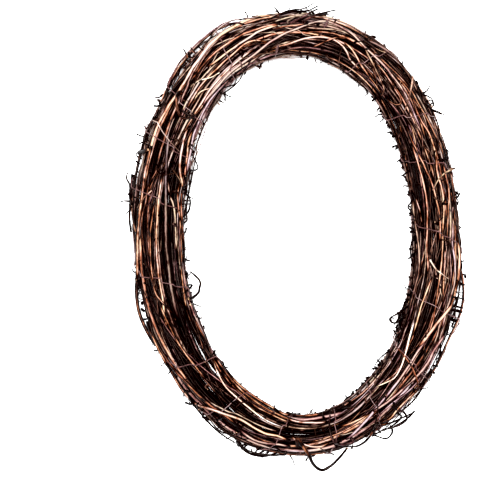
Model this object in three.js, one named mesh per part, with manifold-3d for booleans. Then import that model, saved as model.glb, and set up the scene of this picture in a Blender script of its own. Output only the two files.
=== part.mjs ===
// An oval grapevine wreath, lying on its back. Long woody canes are wound round an oval ring, each
// for part of the way or for a lap and more, with side shoots and curled tendrils still on them, and
// one thin coated wire is wound round the bundle to bind it.
//
// Millimetres, +Z up. The front face looks up, the top of the oval is at +Y, and the origin lies on
// the resting plane under the middle of the outline.

import * as THREE from "three";
import Module from "manifold-3d";

const wasm = await Module();
wasm.setup();

const DEGREE = Math.PI / 180;

// Driving dimensions of the ring
const HALF_WIDTH = 125; // of the bundle's centre line, along X
const HALF_HEIGHT = 180; // and along Y
const FLATNESS = 0.84; // height of the bundle's section over its width

// How the bundle leans and swells, at even steps round the ring, clockwise from the top: how far its
// middle lies outside the centre line, and its half width.
const BUNDLE = [
  [1, 20.7],
  [1, 21.2],
  [-1.6, 20.8],
  [-0.8, 22],
  [2.4, 22.8],
  [2.8, 21],
  [-0.5, 19.2],
  [-3.6, 21.8],
  [-1, 22.8],
  [0.5, 23.2],
  [1.8, 24.4],
  [7, 22],
];

// Cross-sections round the ring at which every cane has a point
const STATIONS = 46;
const CANE_GAP = 0.5; // kept between canes that pass each other
const TIP = 0.55; // width of a cane's thin end over its width before it
const CORNERS = { 3: 1.1, 4: 1.05, 5: 1.03 }; // how far a cane's corners stand out over its radius

// How the canes are eased apart: shares of each fault that one round makes good
const SETTLE_ROUNDS = 420;
const SUPPLE_SHARE = 0.75; // share of the rounds in which the canes still straighten
const EASE = 0.1; // apart, where two are too near
const STIFFNESS = 0.16; // straight
const HOLD_ACROSS = 0.06; // towards the route of a cane that shows
const HOLD_UP = 0.02;
const HOLD_BULGE = 0.35; // towards a route that stands off the bundle
const DRAW_IN = 0.25; // into the bundle

// Binding wire
const WIRE_RADIUS = 0.5;
const WIRE_GAP = 0.35; // kept to the canes that it binds
const WIRE_SIDES = 3;
const WIRE_STEPS = 16; // bends in each turn
const WIRE_CROSSINGS = [
  // where each turn crosses the front, as distances round the ring
  18, 67, 131, 174, 239, 304, 357, 408, 449, 500, 556, 604, 684, 757, 805, 842, 900, 950,
];

// Side shoots
const SHOOT_SIDES = 3;
const SHOOT_STEP = 4; // length of each straight in a shoot
const ROUND = 20 * DEGREE; // length of a degree round a bundle of usual size
const SHOOT_TIP = 0.55; // width of a shoot's end over its width at the root
const SHOOT_GAP = 0.35; // kept to everything but the cane that a shoot grows on
const ROOT_SHARE = 0.85; // most width of a shoot over that of its cane
const LIFT_STEP = 0.35; // steps by which a shoot is lifted over what is in its way
const MOST_LIFT = 5;
const NEAR = 75; // how far from its root a shoot may come near anything
const SHOOT_SHIFTS = [0, 2, -2, 4, -4, 7, -7]; // tried along the ring until a shoot finds room

// Canes that show on the front. Each gives its radius at the thick and the thin end, how far it runs
// on inside the bundle after it dips out of sight, and the places that it passes: the distance round
// the ring, clockwise from the top, and how far out from the centre line it lies there.
const FRONT_CANES = [
  { bark: "orange", radii: [2.7, 2.1], runOn: 330,
    route: [[540, 5], [572, 9], [608, 14], [644, 19], [662, 22], [684, 20], [720, 17], [765, 16],
      [805, 18], [841, 17], [877, 19], [913, 23], [949, 23], [975, 20]] },
  { bark: "brown", radii: [1.7, 1.4], runOn: 380,
    route: [[805, -11], [837, -7], [877, -5], [913, -6], [936, -4], [950, 0], [966, 6], [976, 14],
      [988, 17], [1006, 14], [1025, 10], [1042, 3], [1063, -5], [1089, -9]] },
  { bark: "brown", radii: [1.7, 1.3], runOn: 300,
    route: [[931, -11], [966, -4], [979, 1], [993, 3], [1006, 1], [1020, -5], [1042, -9], [1092, -6],
      [1127, -5], [1145, -3], [1181, 3], [1235, 3], [1271, 4], [1288, 1], [1324, -2]] },
  { bark: "orange", radii: [1.8, 1.5], runOn: 420,
    route: [[20, 10], [38, 12], [59, 11], [90, 9], [126, 6], [161, 3], [190, -1]] },
  { bark: "brown", radii: [1.8, 1.4], runOn: 340,
    route: [[54, 11], [90, 14], [126, 14], [161, 16], [197, 15], [233, 10], [269, 8], [300, 11],
      [322, 7], [350, 2]] },
  { bark: "orange", radii: [2.4, 2], runOn: 260,
    route: [[212, 19], [251, 20], [288, 21], [310, 14], [335, 6], [358, 4], [394, 2], [430, 4],
      [459, 5], [482, 7], [520, 9]] },
  { bark: "pink", radii: [2.4, 1.9], runOn: 300,
    route: [[305, 21], [322, 24], [340, 19], [369, 13], [394, 7], [410, 5], [432, 10], [450, 14],
      [482, 16], [513, 14], [553, 11], [572, 17], [608, 18], [644, 15]] },
  { bark: "brown", radii: [1.6, 1.3], runOn: 320,
    route: [[306, -7], [358, -7], [412, -9], [430, -6], [459, -5], [482, -7], [536, -13], [572, -15],
      [594, -20], [621, -22], [657, -19]] },
  { bark: "pink", radii: [2.6, 2.1], runOn: 240,
    route: [[421, -9], [444, -15], [482, -19], [518, -19], [554, -22], [590, -23], [644, -22],
      [680, -17], [716, -20], [752, -20], [788, -18], [823, -15], [859, -12]] },
  { bark: "orange", radii: [1.9, 1.5], runOn: 280,
    route: [[621, -7], [644, -5], [662, 1], [680, 7], [698, 9], [720, 13], [760, 12], [774, 8],
      [792, 5], [823, 7], [859, 12], [877, 15], [895, 20], [930, 27]] },
  { bark: "brown", radii: [1.6, 1.3], runOn: 300,
    route: [[540, 0], [572, -5], [608, -3], [644, 1], [680, 1], [716, 1], [752, 1], [788, 0],
      [823, -4], [859, -3], [900, -3], [913, 2], [925, 5], [940, -1]] },
  { bark: "dark", radii: [2.9, 2.4], runOn: 200,
    route: [[549, -9], [608, -10], [644, -9], [716, -10], [752, -8], [788, -1], [805, 3], [837, 4]] },
  { bark: "pink", radii: [1.5, 1.3], runOn: 300,
    route: [[841, 10], [864, 12], [900, 13], [936, 12], [966, 14], [990, 10], [1010, 6]] },
  { bark: "brown", radii: [1.5, 1.2], runOn: 360,
    route: [[297, -12], [322, -11], [340, -8], [358, -4], [369, -1], [378, -2], [396, -9]] },
  { bark: "orange", radii: [1.6, 1.3], runOn: 330,
    route: [[108, 8], [135, 11], [161, 12], [197, 7], [215, 8], [251, 5], [287, 7], [310, 5]] },
  { bark: "brown", radii: [1.6, 1.3], runOn: 360,
    route: [[99, -11], [126, -10], [161, -10], [197, -9], [233, -8], [269, -6], [297, -3]] },
  { bark: "dark", radii: [1.5, 1.3], runOn: 260,
    route: [[90, -13], [161, -16], [215, -18], [269, -17], [322, -16], [376, -15]] },
  { bark: "brown", radii: [1.6, 1.3], runOn: 300,
    route: [[950, 21], [983, 20], [1019, 19], [1055, 22], [1073, 21], [1100, 17]] },
  { bark: "orange", radii: [1.5, 1.2], runOn: 120, bulge: true,
    route: [[256, 20], [273, 25], [288, 31], [300, 31], [318, 26], [335, 24], [352, 26], [372, 22]] },
  { bark: "orange", radii: [1.5, 1.3], runOn: 120, bulge: true,
    route: [[733, 24], [770, 27], [805, 28], [841, 26], [859, 29], [900, 31], [925, 28]] },
  { bark: "brown", radii: [1.7, 1.3], runOn: 220,
    route: [[790, 19], [830, 23], [870, 25], [905, 27], [940, 25], [975, 20]] },
  { bark: "orange", radii: [1.6, 1.3], runOn: 260,
    route: [[855, 20], [885, 23], [915, 24], [950, 20], [985, 16], [1015, 16]] },
  { bark: "dark", radii: [2.2, 1.8], runOn: 200,
    route: [[590, 16], [640, 19], [680, 22], [720, 24.5], [760, 24.5], [800, 22], [830, 20]] },
  { bark: "dark", radii: [1.7, 1.3], runOn: 300,
    route: [[60, -16], [100, -19], [150, -22], [205, -22], [260, -21], [310, -19], [360, -17]] },
];

// Canes wound in behind and below those, laid by rule: how many, their radii and their lengths. They
// start at even angles from the inner side, by the underside, to the outer side.
const INNER_CANES = [
  { count: 4, radii: [2.6, 1.9], length: 1250 },
  { count: 11, radii: [1.74, 1.4], length: 1200 },
  { count: 8, radii: [1.5, 1.1], length: 1150 },
];
const INNER_ANGLES = [150, 400];
const INNER_DEPTHS = [0.5, 1]; // share of the way from the bundle's middle to its skin
const EVEN_SHARES = [0.618, 0.755, 0.57]; // steps that spread their angles, depths and starts
const INNER_SEED = 41;

// How a cane is led through the bundle where it doesn't show. Depths are shares of the way from the
// bundle's middle to its skin, and turns are in radians round the bundle, from each place to the next.
const WANDER_STEP = 95; // distance from each place to the next
const WANDER_TURN = 0.42; // most that an inner cane turns by itself
const WANDER_OUT = [-0.25, 0.3]; // change of its depth
const DRIFTS = [-0.3, 0.25]; // its steady turn
const RISE = 45; // distance over which a front cane rises into sight, and dips out of it
const RISE_DEPTHS = [0.35, 0.6];
const TAIL_DEPTHS = [0.45, 0.9];
const TAIL_TURNS = [0.2, 1]; // towards the side that it shows on
const TAIL_SEED = 7;

// Shoots that show in the photograph, each by its radius and its places: the distance round the
// ring, the angle round the bundle (0 is outward, 90 the front, 180 inward) and the height over it.
const SHOOTS = [
  { radius: 2.1, sides: 5, places: [[484, 84, 0], [479, 62, 0], [475, 36, 2], [472, 12, 7],
    [467, 4, 12], [460, 4, 9], [453, 8, 4], [446, 20, 0]] },
  { radius: 0.9, places: [[127, 30, 0], [133, 18, 1], [137, 10, 5], [142, 7, 9]] },
  { radius: 0.8, places: [[119, 24, 0], [123, 16, 3], [128, 12, 5], [131, 14, 3], [131, 20, 0]] },
  { radius: 0.9, places: [[-10, 22, 0], [-3, 10, 1], [5, 7, 3], [11, 5, 9]] },
  { radius: 1.1, places: [[-6, 62, 0], [4, 40, 0], [14, 14, 4]] },
  { radius: 1.2, places: [[4, 56, 0], [16, 24, 1], [26, 8, 6]] },
  { radius: 1, places: [[306, 172, 0], [315, 179, 1], [322, 181, 5], [327, 182, 8], [331, 180, 5]] },
  { radius: 0.9, places: [[310, 205, 0], [322, 194, 2], [332, 188, 3]] },
  { radius: 1.1, places: [[414, 22, 0], [405, 10, 3], [391, 5, 9]] },
  { radius: 1.2, places: [[395, 34, 0], [393, 14, 4], [400, 9, 6], [409, 8, 3], [417, 12, 0]] },
  { radius: 1, places: [[428, 20, 0], [436, 9, 2], [443, 10, 2], [448, 20, 0]] },
  { radius: 1, places: [[493, 28, 0], [506, 13, 2], [520, 10, 4], [535, 16, 0]] },
  { radius: 0.9, places: [[538, 24, 0], [546, 11, 2], [558, 15, 0]] },
  { radius: 1.3, places: [[665, 170, 0], [672, 178, 4], [679, 180, 7], [686, 180, 5], [691, 176, 2]] },
  { radius: 0.9, places: [[739, 168, 0], [751, 178, 2], [766, 178, 3]] },
  { radius: 0.9, places: [[792, 172, 0], [781, 180, 2], [771, 180, 4]] },
  { radius: 1, places: [[820, 40, 0], [813, 66, 0], [803, 112, 0]] },
  { radius: 1.6, sides: 4, places: [[846, 62, 0], [836, 72, 0], [829, 88, 0], [829, 104, 0],
    [836, 118, 0]] },
  { radius: 0.8, places: [[872, 168, 0], [884, 178, 2], [894, 178, 2], [902, 166, 0]] },
  { radius: 1.3, places: [[103, 22, 0], [109, 48, 0], [116, 74, 0], [124, 100, 0]] },
  { radius: 1.2, places: [[183, 26, 0], [185, 52, 0], [190, 74, 0], [198, 94, 0]] },
  { radius: 1.1, places: [[264, 112, 0], [272, 92, 0], [278, 60, 0]] },
  { radius: 1.4, sides: 4, places: [[440, 40, 0], [449, 48, 0], [454, 74, 0], [454, 102, 0],
    [449, 138, 0]] },
  { radius: 0.9, places: [[427, 20, 0], [417, 50, 0], [409, 76, 0], [400, 108, 0]] },
  { radius: 0.9, places: [[374, 26, 0], [366, 60, 0], [358, 100, 0], [352, 144, 0]] },
  { radius: 1.8, sides: 4, places: [[751, 18, 0], [762, 9, 0], [775, 6, 2]] },
];

// Short spurs where leaves and fruit were cut off, scattered by rule
const SPURS = {
  count: 34,
  seed: 23,
  radius: 0.8,
  length: [4, 8],
  around: [-25, 205], // angles round the bundle at which they stand
  lean: 0.9, // most that one leans along the ring, as a share of its length
  turn: 14, // most degrees that it leans round the bundle
};

// Bark of the canes, and the wire's coating
const BARKS = {
  orange: { color: 0xa8643a, roughness: 0.6 },
  pink: { color: 0x94604e, roughness: 0.65 },
  brown: { color: 0x6e4029, roughness: 0.7 },
  dark: { color: 0x40261c, roughness: 0.75 },
};
const INNER_BARKS = ["brown", "dark", "orange", "dark", "brown", "pink"];
const WIRE_COATING = { color: 0x4a2c26, roughness: 0.45 };

// Cut stubs of side shoots under the ring, which it rests on, at these distances round it. Each is
// half way between two places where the wire passes underneath.
const FEET = { distances: [6, 239, 501, 682], radius: 1.9, sides: 6, depth: 3 };

// A seeded generator of numbers from 0 to 1
function seeded(seed) {
  let state = seed >>> 0;
  return () => {
    state = (state + 0x6d2b79f5) >>> 0;
    let t = Math.imul(state ^ (state >>> 15), state | 1);
    t ^= t + Math.imul(t ^ (t >>> 7), t | 61);
    return ((t ^ (t >>> 14)) >>> 0) / 4294967296;
  };
}

const mix = (a, b, share) => a + (b - a) * share;
const numbered = (name, index) => `${name}_${String(index + 1).padStart(2, "0")}`;
const wrap = (value, size) => ((value % size) + size) % size;

// Distance round the centre line, as a table over even steps of the oval's own angle
const ARC_STEPS = 720;
const arc = [0];
for (let i = 1; i <= ARC_STEPS; i++) {
  const [from, to] = [i - 1, i].map((step) => (2 * Math.PI * step) / ARC_STEPS);
  const across = HALF_WIDTH * (Math.sin(to) - Math.sin(from));
  const along = HALF_HEIGHT * (Math.cos(to) - Math.cos(from));
  arc.push(arc[i - 1] + Math.hypot(across, along));
}
const RING_LENGTH = arc[ARC_STEPS];

// The station, as a fractional number that goes on past a lap, at a distance round the ring
function stationAt(distance) {
  const laps = Math.floor(distance / RING_LENGTH);
  const rest = distance - laps * RING_LENGTH;
  let i = 1;
  while (arc[i] < rest) i++;
  const share = (rest - arc[i - 1]) / (arc[i] - arc[i - 1]);
  return (laps + (i - 1 + share) / ARC_STEPS) * STATIONS;
}

// The bundle's middle and half width at a station, on one smooth curve through BUNDLE
function bundleAt(station) {
  const lap = wrap(station / STATIONS, 1) * ARC_STEPS;
  const low = Math.floor(lap);
  const distance = mix(arc[low], arc[Math.min(low + 1, ARC_STEPS)], lap - low);
  const place = (distance / RING_LENGTH) * BUNDLE.length;
  const first = Math.floor(place);
  const t = place - first;
  return [0, 1].map((column) => {
    const [a, b, c, d] = [-1, 0, 1, 2].map((k) => BUNDLE[wrap(first + k, BUNDLE.length)][column]);
    return b + 0.5 * t * (c - a + t * (2 * a - 5 * b + 4 * c - d + t * (3 * (b - c) + d - a)));
  });
}

// The point in space of a place in a section: its station, its offset outward and its height from the
// bundle's middle. The bundle's underside is level all the way round.
function inSpace(station, offset, height) {
  const angle = (2 * Math.PI * station) / STATIONS;
  const [sin, cos] = [Math.sin(angle), Math.cos(angle)];
  const normal = new THREE.Vector3(HALF_HEIGHT * sin, HALF_WIDTH * cos, 0).normalize();
  const up = height + bundleAt(station)[1] * FLATNESS;
  return new THREE.Vector3(HALF_WIDTH * sin, HALF_HEIGHT * cos, up).addScaledVector(normal, offset);
}

// A place inside the bundle by its angle round the bundle's middle and its share of the way out
function placeInside(distance, angle, out, radius) {
  const station = stationAt(distance);
  const [middle, half] = bundleAt(station);
  const offset = middle + out * (half - radius) * Math.cos(angle);
  return { station, offset, height: out * (half * FLATNESS - radius) * Math.sin(angle) };
}

// A place on the front of the bundle, at an offset from the centre line
function placeOnFront([distance, offset], radius) {
  const station = stationAt(distance);
  const [middle, half] = bundleAt(station);
  const across = (offset - middle) / half;
  const height = (half * FLATNESS - radius) * Math.sqrt(Math.max(0.04, 1 - across * across));
  return { station, offset, height, shown: true };
}

// The points of a cane at whole stations, from the places that it is led through
function caneThrough(places, radii, { name, bark, bulge = false }) {
  const first = Math.ceil(places[0].station);
  const last = Math.floor(places.at(-1).station);
  const points = [];
  for (let station = first, k = 0; station <= last; station++) {
    while (places[k + 1].station < station) k++;
    const [from, to] = [places[k], places[k + 1]];
    const share = (station - from.station) / (to.station - from.station);
    const offset = mix(from.offset, to.offset, share);
    const height = mix(from.height, to.height, share);
    const radius = mix(radii[0], radii[1], (station - first) / (last - first));
    const shown = Boolean(from.shown && to.shown);
    const [middle, half] = bundleAt(station);
    const guides = { shown, free: bulge && shown, target: [offset, height], middle, half };
    points.push({ station, offset, height, radius, push: [0, 0], ...guides });
  }
  return { name, bark, points };
}

// A front cane rises out of the bundle, shows along its route, dips again and runs on inside
function frontCane({ bark, radii, runOn, route, bulge }, index, random) {
  const places = route.map((place) => placeOnFront(place, radii[0]));
  const [[start], [end, offset]] = [route[0], route.at(-1)];
  const side = Math.sign(offset || 1);
  let angle = Math.PI / 2 - side * mix(...TAIL_TURNS, random());
  places.unshift(placeInside(start - RISE, angle, mix(...RISE_DEPTHS, random()), radii[0]));
  for (let run = RISE; run <= runOn; run += WANDER_STEP) {
    angle -= side * mix(...TAIL_TURNS, random());
    places.push(placeInside(end + run, angle, mix(...TAIL_DEPTHS, random()), radii[1]));
  }
  return caneThrough(places, radii, { name: numbered("cane_front", index), bark, bulge });
}

// An inner cane wanders round inside the bundle as it goes round the ring
function innerCane({ radii, length }, index, random) {
  const [share, shareOut, shareRound] = EVEN_SHARES.map((step) => (index * step + 0.3) % 1);
  let angle = mix(...INNER_ANGLES, share) * DEGREE;
  let out = mix(...INNER_DEPTHS, shareOut);
  const start = RING_LENGTH * shareRound;
  const drift = mix(...DRIFTS, random());
  const places = [];
  for (let run = 0; run <= length; run += WANDER_STEP) {
    places.push(placeInside(start + run, angle, out, radii[0]));
    angle += drift + mix(-WANDER_TURN, WANDER_TURN, random());
    out = Math.min(1, Math.max(INNER_DEPTHS[0], out + mix(...WANDER_OUT, random())));
  }
  const bark = INNER_BARKS[index % INNER_BARKS.length];
  return caneThrough(places, radii, { name: numbered("cane_inner", index), bark });
}

function layCanes() {
  const forFront = seeded(TAIL_SEED);
  const forInner = seeded(INNER_SEED);
  const canes = FRONT_CANES.map((cane, index) => frontCane(cane, index, forFront));
  const kinds = INNER_CANES.flatMap((kind) => Array(kind.count).fill(kind));
  kinds.forEach((kind, index) => canes.push(innerCane(kind, index, forInner)));
  return canes;
}

// Pairs of cane stretches that run side by side from one section to the next
function sideBySide(canes) {
  const at = Array.from({ length: STATIONS }, () => []);
  for (const { points } of canes) {
    points.forEach((p, i) => at[wrap(p.station, STATIONS)].push([p, points[i + 1] ?? p]));
  }
  return at.flatMap((list) => list.flatMap((a, i) => list.slice(i + 1).map((b) => [a, b])));
}

// Eases the canes apart until none runs into another, while each stays supple and in the bundle
function settle(canes) {
  const points = canes.flatMap((cane) => cane.points);
  const pairs = sideBySide(canes);
  for (let round = 0; round < SETTLE_ROUNDS; round++) {
    const supple = Math.max(0, 1 - round / (SETTLE_ROUNDS * SUPPLE_SHARE));
    points.forEach((p) => p.push.fill(0));
    for (const share of [0, 0.25, 0.5, 0.75]) pairs.forEach((pair) => pushApart(pair, share));
    canes.forEach((cane) => straighten(cane.points, STIFFNESS * supple));
    for (const p of points) {
      if (p.shown && supple > 0) {
        p.push[0] += (p.free ? HOLD_BULGE : HOLD_ACROSS * supple) * (p.target[0] - p.offset);
        p.push[1] += HOLD_UP * supple * (p.target[1] - p.height);
      }
      p.offset += p.push[0];
      p.height += p.push[1];
      if (!p.free) drawIn(p);
    }
  }
}

// Pushes two canes apart where they are too near, at a share of the way to the next section
function pushApart([[a, nextA], [b, nextB]], share) {
  const across = mix(a.offset, nextA.offset, share) - mix(b.offset, nextB.offset, share);
  const up = mix(a.height, nextA.height, share) - mix(b.height, nextB.height, share);
  const apart = Math.hypot(across, up) + 1e-9;
  const touching = mix(a.radius, nextA.radius, share) + mix(b.radius, nextB.radius, share);
  const short = touching + CANE_GAP - apart;
  if (short <= 0) return;
  const size = (EASE * short) / apart;
  for (const [p, way] of [[a, 1 - share], [nextA, share], [b, share - 1], [nextB, -share]]) {
    p.push[0] += way * size * across;
    p.push[1] += way * size * up;
  }
}

function straighten(points, share) {
  for (let i = 1; i + 1 < points.length; i++) {
    const [before, p, after] = points.slice(i - 1, i + 2);
    p.push[0] += share * (before.offset + after.offset - 2 * p.offset);
    p.push[1] += share * (before.height + after.height - 2 * p.height);
  }
}

function drawIn(p) {
  const across = (p.offset - p.middle) / (p.half - p.radius);
  const up = p.height / (p.half * FLATNESS - p.radius);
  const out = Math.hypot(across, up);
  if (out <= 1) return;
  const back = DRAW_IN * (1 / out - 1);
  p.offset += back * (p.offset - p.middle);
  p.height += back * p.height;
}

// The canes' discs in the section at a fractional station
function discsAt(canes, station) {
  const discs = [];
  for (const cane of canes) {
    const { points } = cane;
    const first = points[0].station;
    const last = points.at(-1).station;
    const lap = Math.ceil((first - station) / STATIONS);
    for (let s = station + lap * STATIONS; s <= last; s += STATIONS) {
      const i = Math.min(Math.floor(s - first), points.length - 2);
      const blend = (key) => mix(points[i][key], points[i + 1][key], s - first - i);
      const [offset, height, radius] = ["offset", "height", "radius"].map(blend);
      discs.push({ cane, station: s, offset, height, radius });
    }
  }
  return discs;
}

// The disc that reaches furthest from the bundle's middle in a direction, and how far it reaches
function furthest(discs, middle, angle) {
  const [cos, sin] = [Math.cos(angle), Math.sin(angle)];
  let best = { reach: -Infinity };
  for (const disc of discs) {
    const reach = (disc.offset - middle) * cos + disc.height * sin + disc.radius;
    if (reach > best.reach) best = { reach, disc };
  }
  return best;
}

// How far the bundle's skin lies from its middle in a direction, as if drawn tight round the canes
const FAN = [-48, -36, -24, -12, 0, 12, 24, 36, 48].map((degrees) => degrees * DEGREE);
function skinAt(discs, middle, angle) {
  return Math.min(...FAN.map((turn) => furthest(discs, middle, angle + turn).reach / Math.cos(turn)));
}

// Thick canes get more sides than thin ones
function sidesOf({ points }) {
  const { radius } = points[0];
  return radius > 2.3 ? 5 : radius > 1.75 ? 4 : 3;
}

// A closed tube through rings of corners
function tube(rings) {
  const sides = rings[0].length;
  const last = (rings.length - 1) * sides;
  const faces = [];
  for (let i = 0; i < last; i += sides) {
    for (let j = 0; j < sides; j++) {
      const [a, b] = [i + j, i + ((j + 1) % sides)];
      faces.push(a, b, b + sides, a, b + sides, a + sides);
    }
  }
  for (let j = 1; j + 1 < sides; j++) {
    faces.push(0, j + 1, j);
    faces.push(last, last + j, last + j + 1);
  }
  const triVerts = new Uint32Array(faces);
  const vertProperties = new Float32Array(rings.flat().flatMap((corner) => corner.toArray()));
  return new wasm.Manifold(new wasm.Mesh({ numProp: 3, vertProperties, triVerts }));
}

// A cane's tube has a ring of corners in each section, with a level edge underneath
function caneSolid(cane) {
  const sides = sidesOf(cane);
  const rings = cane.points.map(({ station, offset, height, radius }, i, { length }) => {
    const size = radius * CORNERS[sides] * (i === length - 1 ? TIP : 1);
    return Array.from({ length: sides }, (_, j) => {
      const angle = (2 * Math.PI * (j + 0.5)) / sides - Math.PI / 2;
      return inSpace(station, offset + size * Math.cos(angle), height + size * Math.sin(angle));
    });
  });
  return tube(rings);
}

// A tube along any line in space, thinning towards its end
function branchSolid(line, radius, sides, tip) {
  const side = new THREE.Vector3(0.1, 0.1, 1);
  const rings = line.map((point, i, { length }) => {
    const along = line[Math.min(i + 1, length - 1)].clone().sub(line[Math.max(i - 1, 0)]).normalize();
    side.addScaledVector(along, -side.dot(along)).normalize();
    const other = along.clone().cross(side);
    const size = radius * mix(1, tip, i / (length - 1));
    return Array.from({ length: sides }, (_, j) => {
      const angle = (2 * Math.PI * j) / sides;
      const corner = point.clone().addScaledVector(side, size * Math.cos(angle));
      return corner.addScaledVector(other, size * Math.sin(angle));
    });
  });
  return tube(rings);
}

// The wire's line: at each bend it stands off just far enough for the straights beside it to clear
function wireLine(canes) {
  const turns = WIRE_CROSSINGS.length - 1;
  const step = (2 * Math.PI) / WIRE_STEPS;
  const placeAt = (k) => {
    const turn = Math.min(Math.floor(k / WIRE_STEPS), turns - 1);
    const distance = mix(WIRE_CROSSINGS[turn], WIRE_CROSSINGS[turn + 1], k / WIRE_STEPS - turn);
    return { station: stationAt(distance), angle: Math.PI / 2 - k * step };
  };
  const reaches = [];
  for (let k = 0; k < turns * WIRE_STEPS; k++) {
    const { station, angle } = placeAt(k + 0.5);
    const [middle] = bundleAt(station);
    const beside = [-0.15, 0, 0.15].map((shift) => discsAt(canes, station + shift));
    reaches.push(Math.max(...beside.map((discs) => furthest(discs, middle, angle).reach)));
  }
  const line = [];
  for (let k = 1; k < reaches.length; k++) {
    const { station, angle } = placeAt(k);
    const [middle] = bundleAt(station);
    const clear = Math.max(reaches[k - 1], reaches[k]) + WIRE_RADIUS + WIRE_GAP;
    const out = clear / Math.cos(step / 2);
    line.push(inSpace(station, middle + out * Math.cos(angle), out * Math.sin(angle)));
  }
  return line;
}

// The straight stretches of everything laid so far, each with the cane, wire or shoot that owns it
const stretches = [];
function noteStretches(owner, line, radii) {
  for (let i = 1; i < line.length; i++) {
    stretches.push({ owner, line: new THREE.Line3(line[i - 1], line[i]), radius: radii[i - 1] });
  }
}

// Whether a straight stretch keeps its gap to others, tried at a few points along it
function isClear(from, to, radius, others) {
  const nearest = new THREE.Vector3();
  return [0.25, 0.5, 0.75, 1].every((share) => {
    const point = from.clone().lerp(to, share);
    if (point.z < radius + SHOOT_GAP - FEET.depth) return false;
    return others.every((other) => {
      other.line.closestPointToPoint(point, true, nearest);
      return nearest.distanceTo(point) >= radius + other.radius + SHOOT_GAP;
    });
  });
}

// Splits a shoot's places, the angles in millimetres round a bundle of usual size, into short steps
// along a smooth curve
function finely(places) {
  const around = ([distance, angle, height]) => new THREE.Vector3(distance, angle * ROUND, height);
  const curve = new THREE.CatmullRomCurve3(places.map(around));
  const steps = Math.max(2, Math.round(curve.getLength() / SHOOT_STEP));
  return curve.getPoints(steps).map(({ x, y, z }) => [x, y / ROUND, z]);
}

// Grows a shoot from the outermost cane under its first place, lifting it over whatever is in its way.
// Gives nothing if there is no way through.
function growShoot({ radius, places }) {
  const [distance, angle] = places[0];
  const station = stationAt(distance);
  const root = furthest(discsAt(canes, station), bundleAt(station)[0], angle * DEGREE).disc;
  const start = inSpace(root.station, root.offset, root.height);
  const isNear = ({ owner, line }) => owner !== root.cane && line.start.distanceTo(start) < NEAR;
  const others = stretches.filter(isNear);
  const thick = Math.min(radius, root.radius * ROOT_SHARE);
  const line = [start];
  let lift = 0;
  for (const [along, turn, height] of finely(places)) {
    const at = stationAt(along);
    const [middle] = bundleAt(at);
    const rest = skinAt(discsAt(canes, at), middle, turn * DEGREE) + height + thick + SHOOT_GAP;
    const lifted = () => {
      const out = rest + lift;
      return inSpace(at, middle + out * Math.cos(turn * DEGREE), out * Math.sin(turn * DEGREE));
    };
    lift = Math.max(0, lift - LIFT_STEP * 2);
    while (lift <= MOST_LIFT && !isClear(line.at(-1), lifted(), thick, others)) lift += LIFT_STEP;
    if (lift > MOST_LIFT) return null;
    line.push(lifted());
  }
  noteStretches(places, line, line.map(() => thick));
  return { cane: root.cane, line, radius: thick };
}

// A shoot as given, or else a little to one side of there
function firstGrown({ radius, places }) {
  for (const shift of SHOOT_SHIFTS) {
    const moved = places.map(([distance, ...rest]) => [distance + shift, ...rest]);
    const grown = growShoot({ radius, places: moved });
    if (grown) return grown;
  }
  return null;
}

// A short spur, leaning one way or the other along the ring
function spur(random) {
  const distance = RING_LENGTH * random();
  const angle = mix(...SPURS.around, random());
  const length = mix(...SPURS.length, random());
  const lean = mix(-SPURS.lean, SPURS.lean, random()) * length;
  const turn = mix(-SPURS.turn, SPURS.turn, random());
  const part = (share) => [distance + lean * share, angle + turn * share, length * share];
  return { radius: SPURS.radius, places: [part(0), part(0.5), part(1)] };
}

const canes = layCanes();
settle(canes);
for (const cane of canes) {
  const line = cane.points.map(({ station, offset, height }) => inSpace(station, offset, height));
  noteStretches(cane, line, cane.points.map(({ radius }) => radius));
  cane.solid = caneSolid(cane);
}

const wire = wireLine(canes);
noteStretches(wire, wire, Array(wire.length).fill(WIRE_RADIUS));
const wireSolid = branchSolid(wire, WIRE_RADIUS, WIRE_SIDES, 1);

const forSpurs = seeded(SPURS.seed);
const spurs = Array.from({ length: SPURS.count }, () => spur(forSpurs));
for (const shoot of [...SHOOTS, ...spurs]) {
  const grown = firstGrown(shoot);
  if (!grown) continue;
  const solid = branchSolid(grown.line, grown.radius, shoot.sides ?? SHOOT_SIDES, SHOOT_TIP);
  grown.cane.solid = grown.cane.solid.add(solid);
}

for (const distance of FEET.distances) {
  const discs = discsAt(canes, stationAt(distance));
  const { cane, station, offset, height } = furthest(discs, 0, -Math.PI / 2).disc;
  const top = inSpace(station, offset, height);
  const bottom = top.clone().setZ(-FEET.depth);
  cane.solid = cane.solid.add(branchSolid([top, bottom], FEET.radius, FEET.sides, 1));
}

// A solid as a mesh with flat faces
function meshOf(name, solid, { color, roughness }) {
  const { vertProperties, triVerts } = solid.getMesh();
  const geometry = new THREE.BufferGeometry();
  geometry.setAttribute("position", new THREE.BufferAttribute(vertProperties, 3));
  geometry.setIndex(new THREE.BufferAttribute(triVerts, 1));
  geometry.computeVertexNormals();
  const material = new THREE.MeshStandardMaterial({ color, roughness, metalness: 0, flatShading: true });
  const mesh = new THREE.Mesh(geometry, material);
  mesh.name = name;
  return mesh;
}

const wreath = new THREE.Group();
wreath.name = "grapevine_wreath";
for (const { name, bark, solid } of canes) wreath.add(meshOf(name, solid, BARKS[bark]));
wreath.add(meshOf("binding_wire", wireSolid, WIRE_COATING));

// The resting plane comes to zero, with the origin under the middle of the outline
const middle = new THREE.Box3().setFromObject(wreath).getCenter(new THREE.Vector3());
wreath.position.set(-middle.x, -middle.y, FEET.depth);

export default wreath;
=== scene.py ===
"""An oval grapevine wreath, lying on its back and seen from straight above.

The canes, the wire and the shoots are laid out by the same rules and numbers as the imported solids,
in millimetres, and then eased once more together with many finer vines. Each fine cane replaces its
solid. Canes and twigs laid over the front, tendrils, buds and shreds of bark are added.
"""

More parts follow.
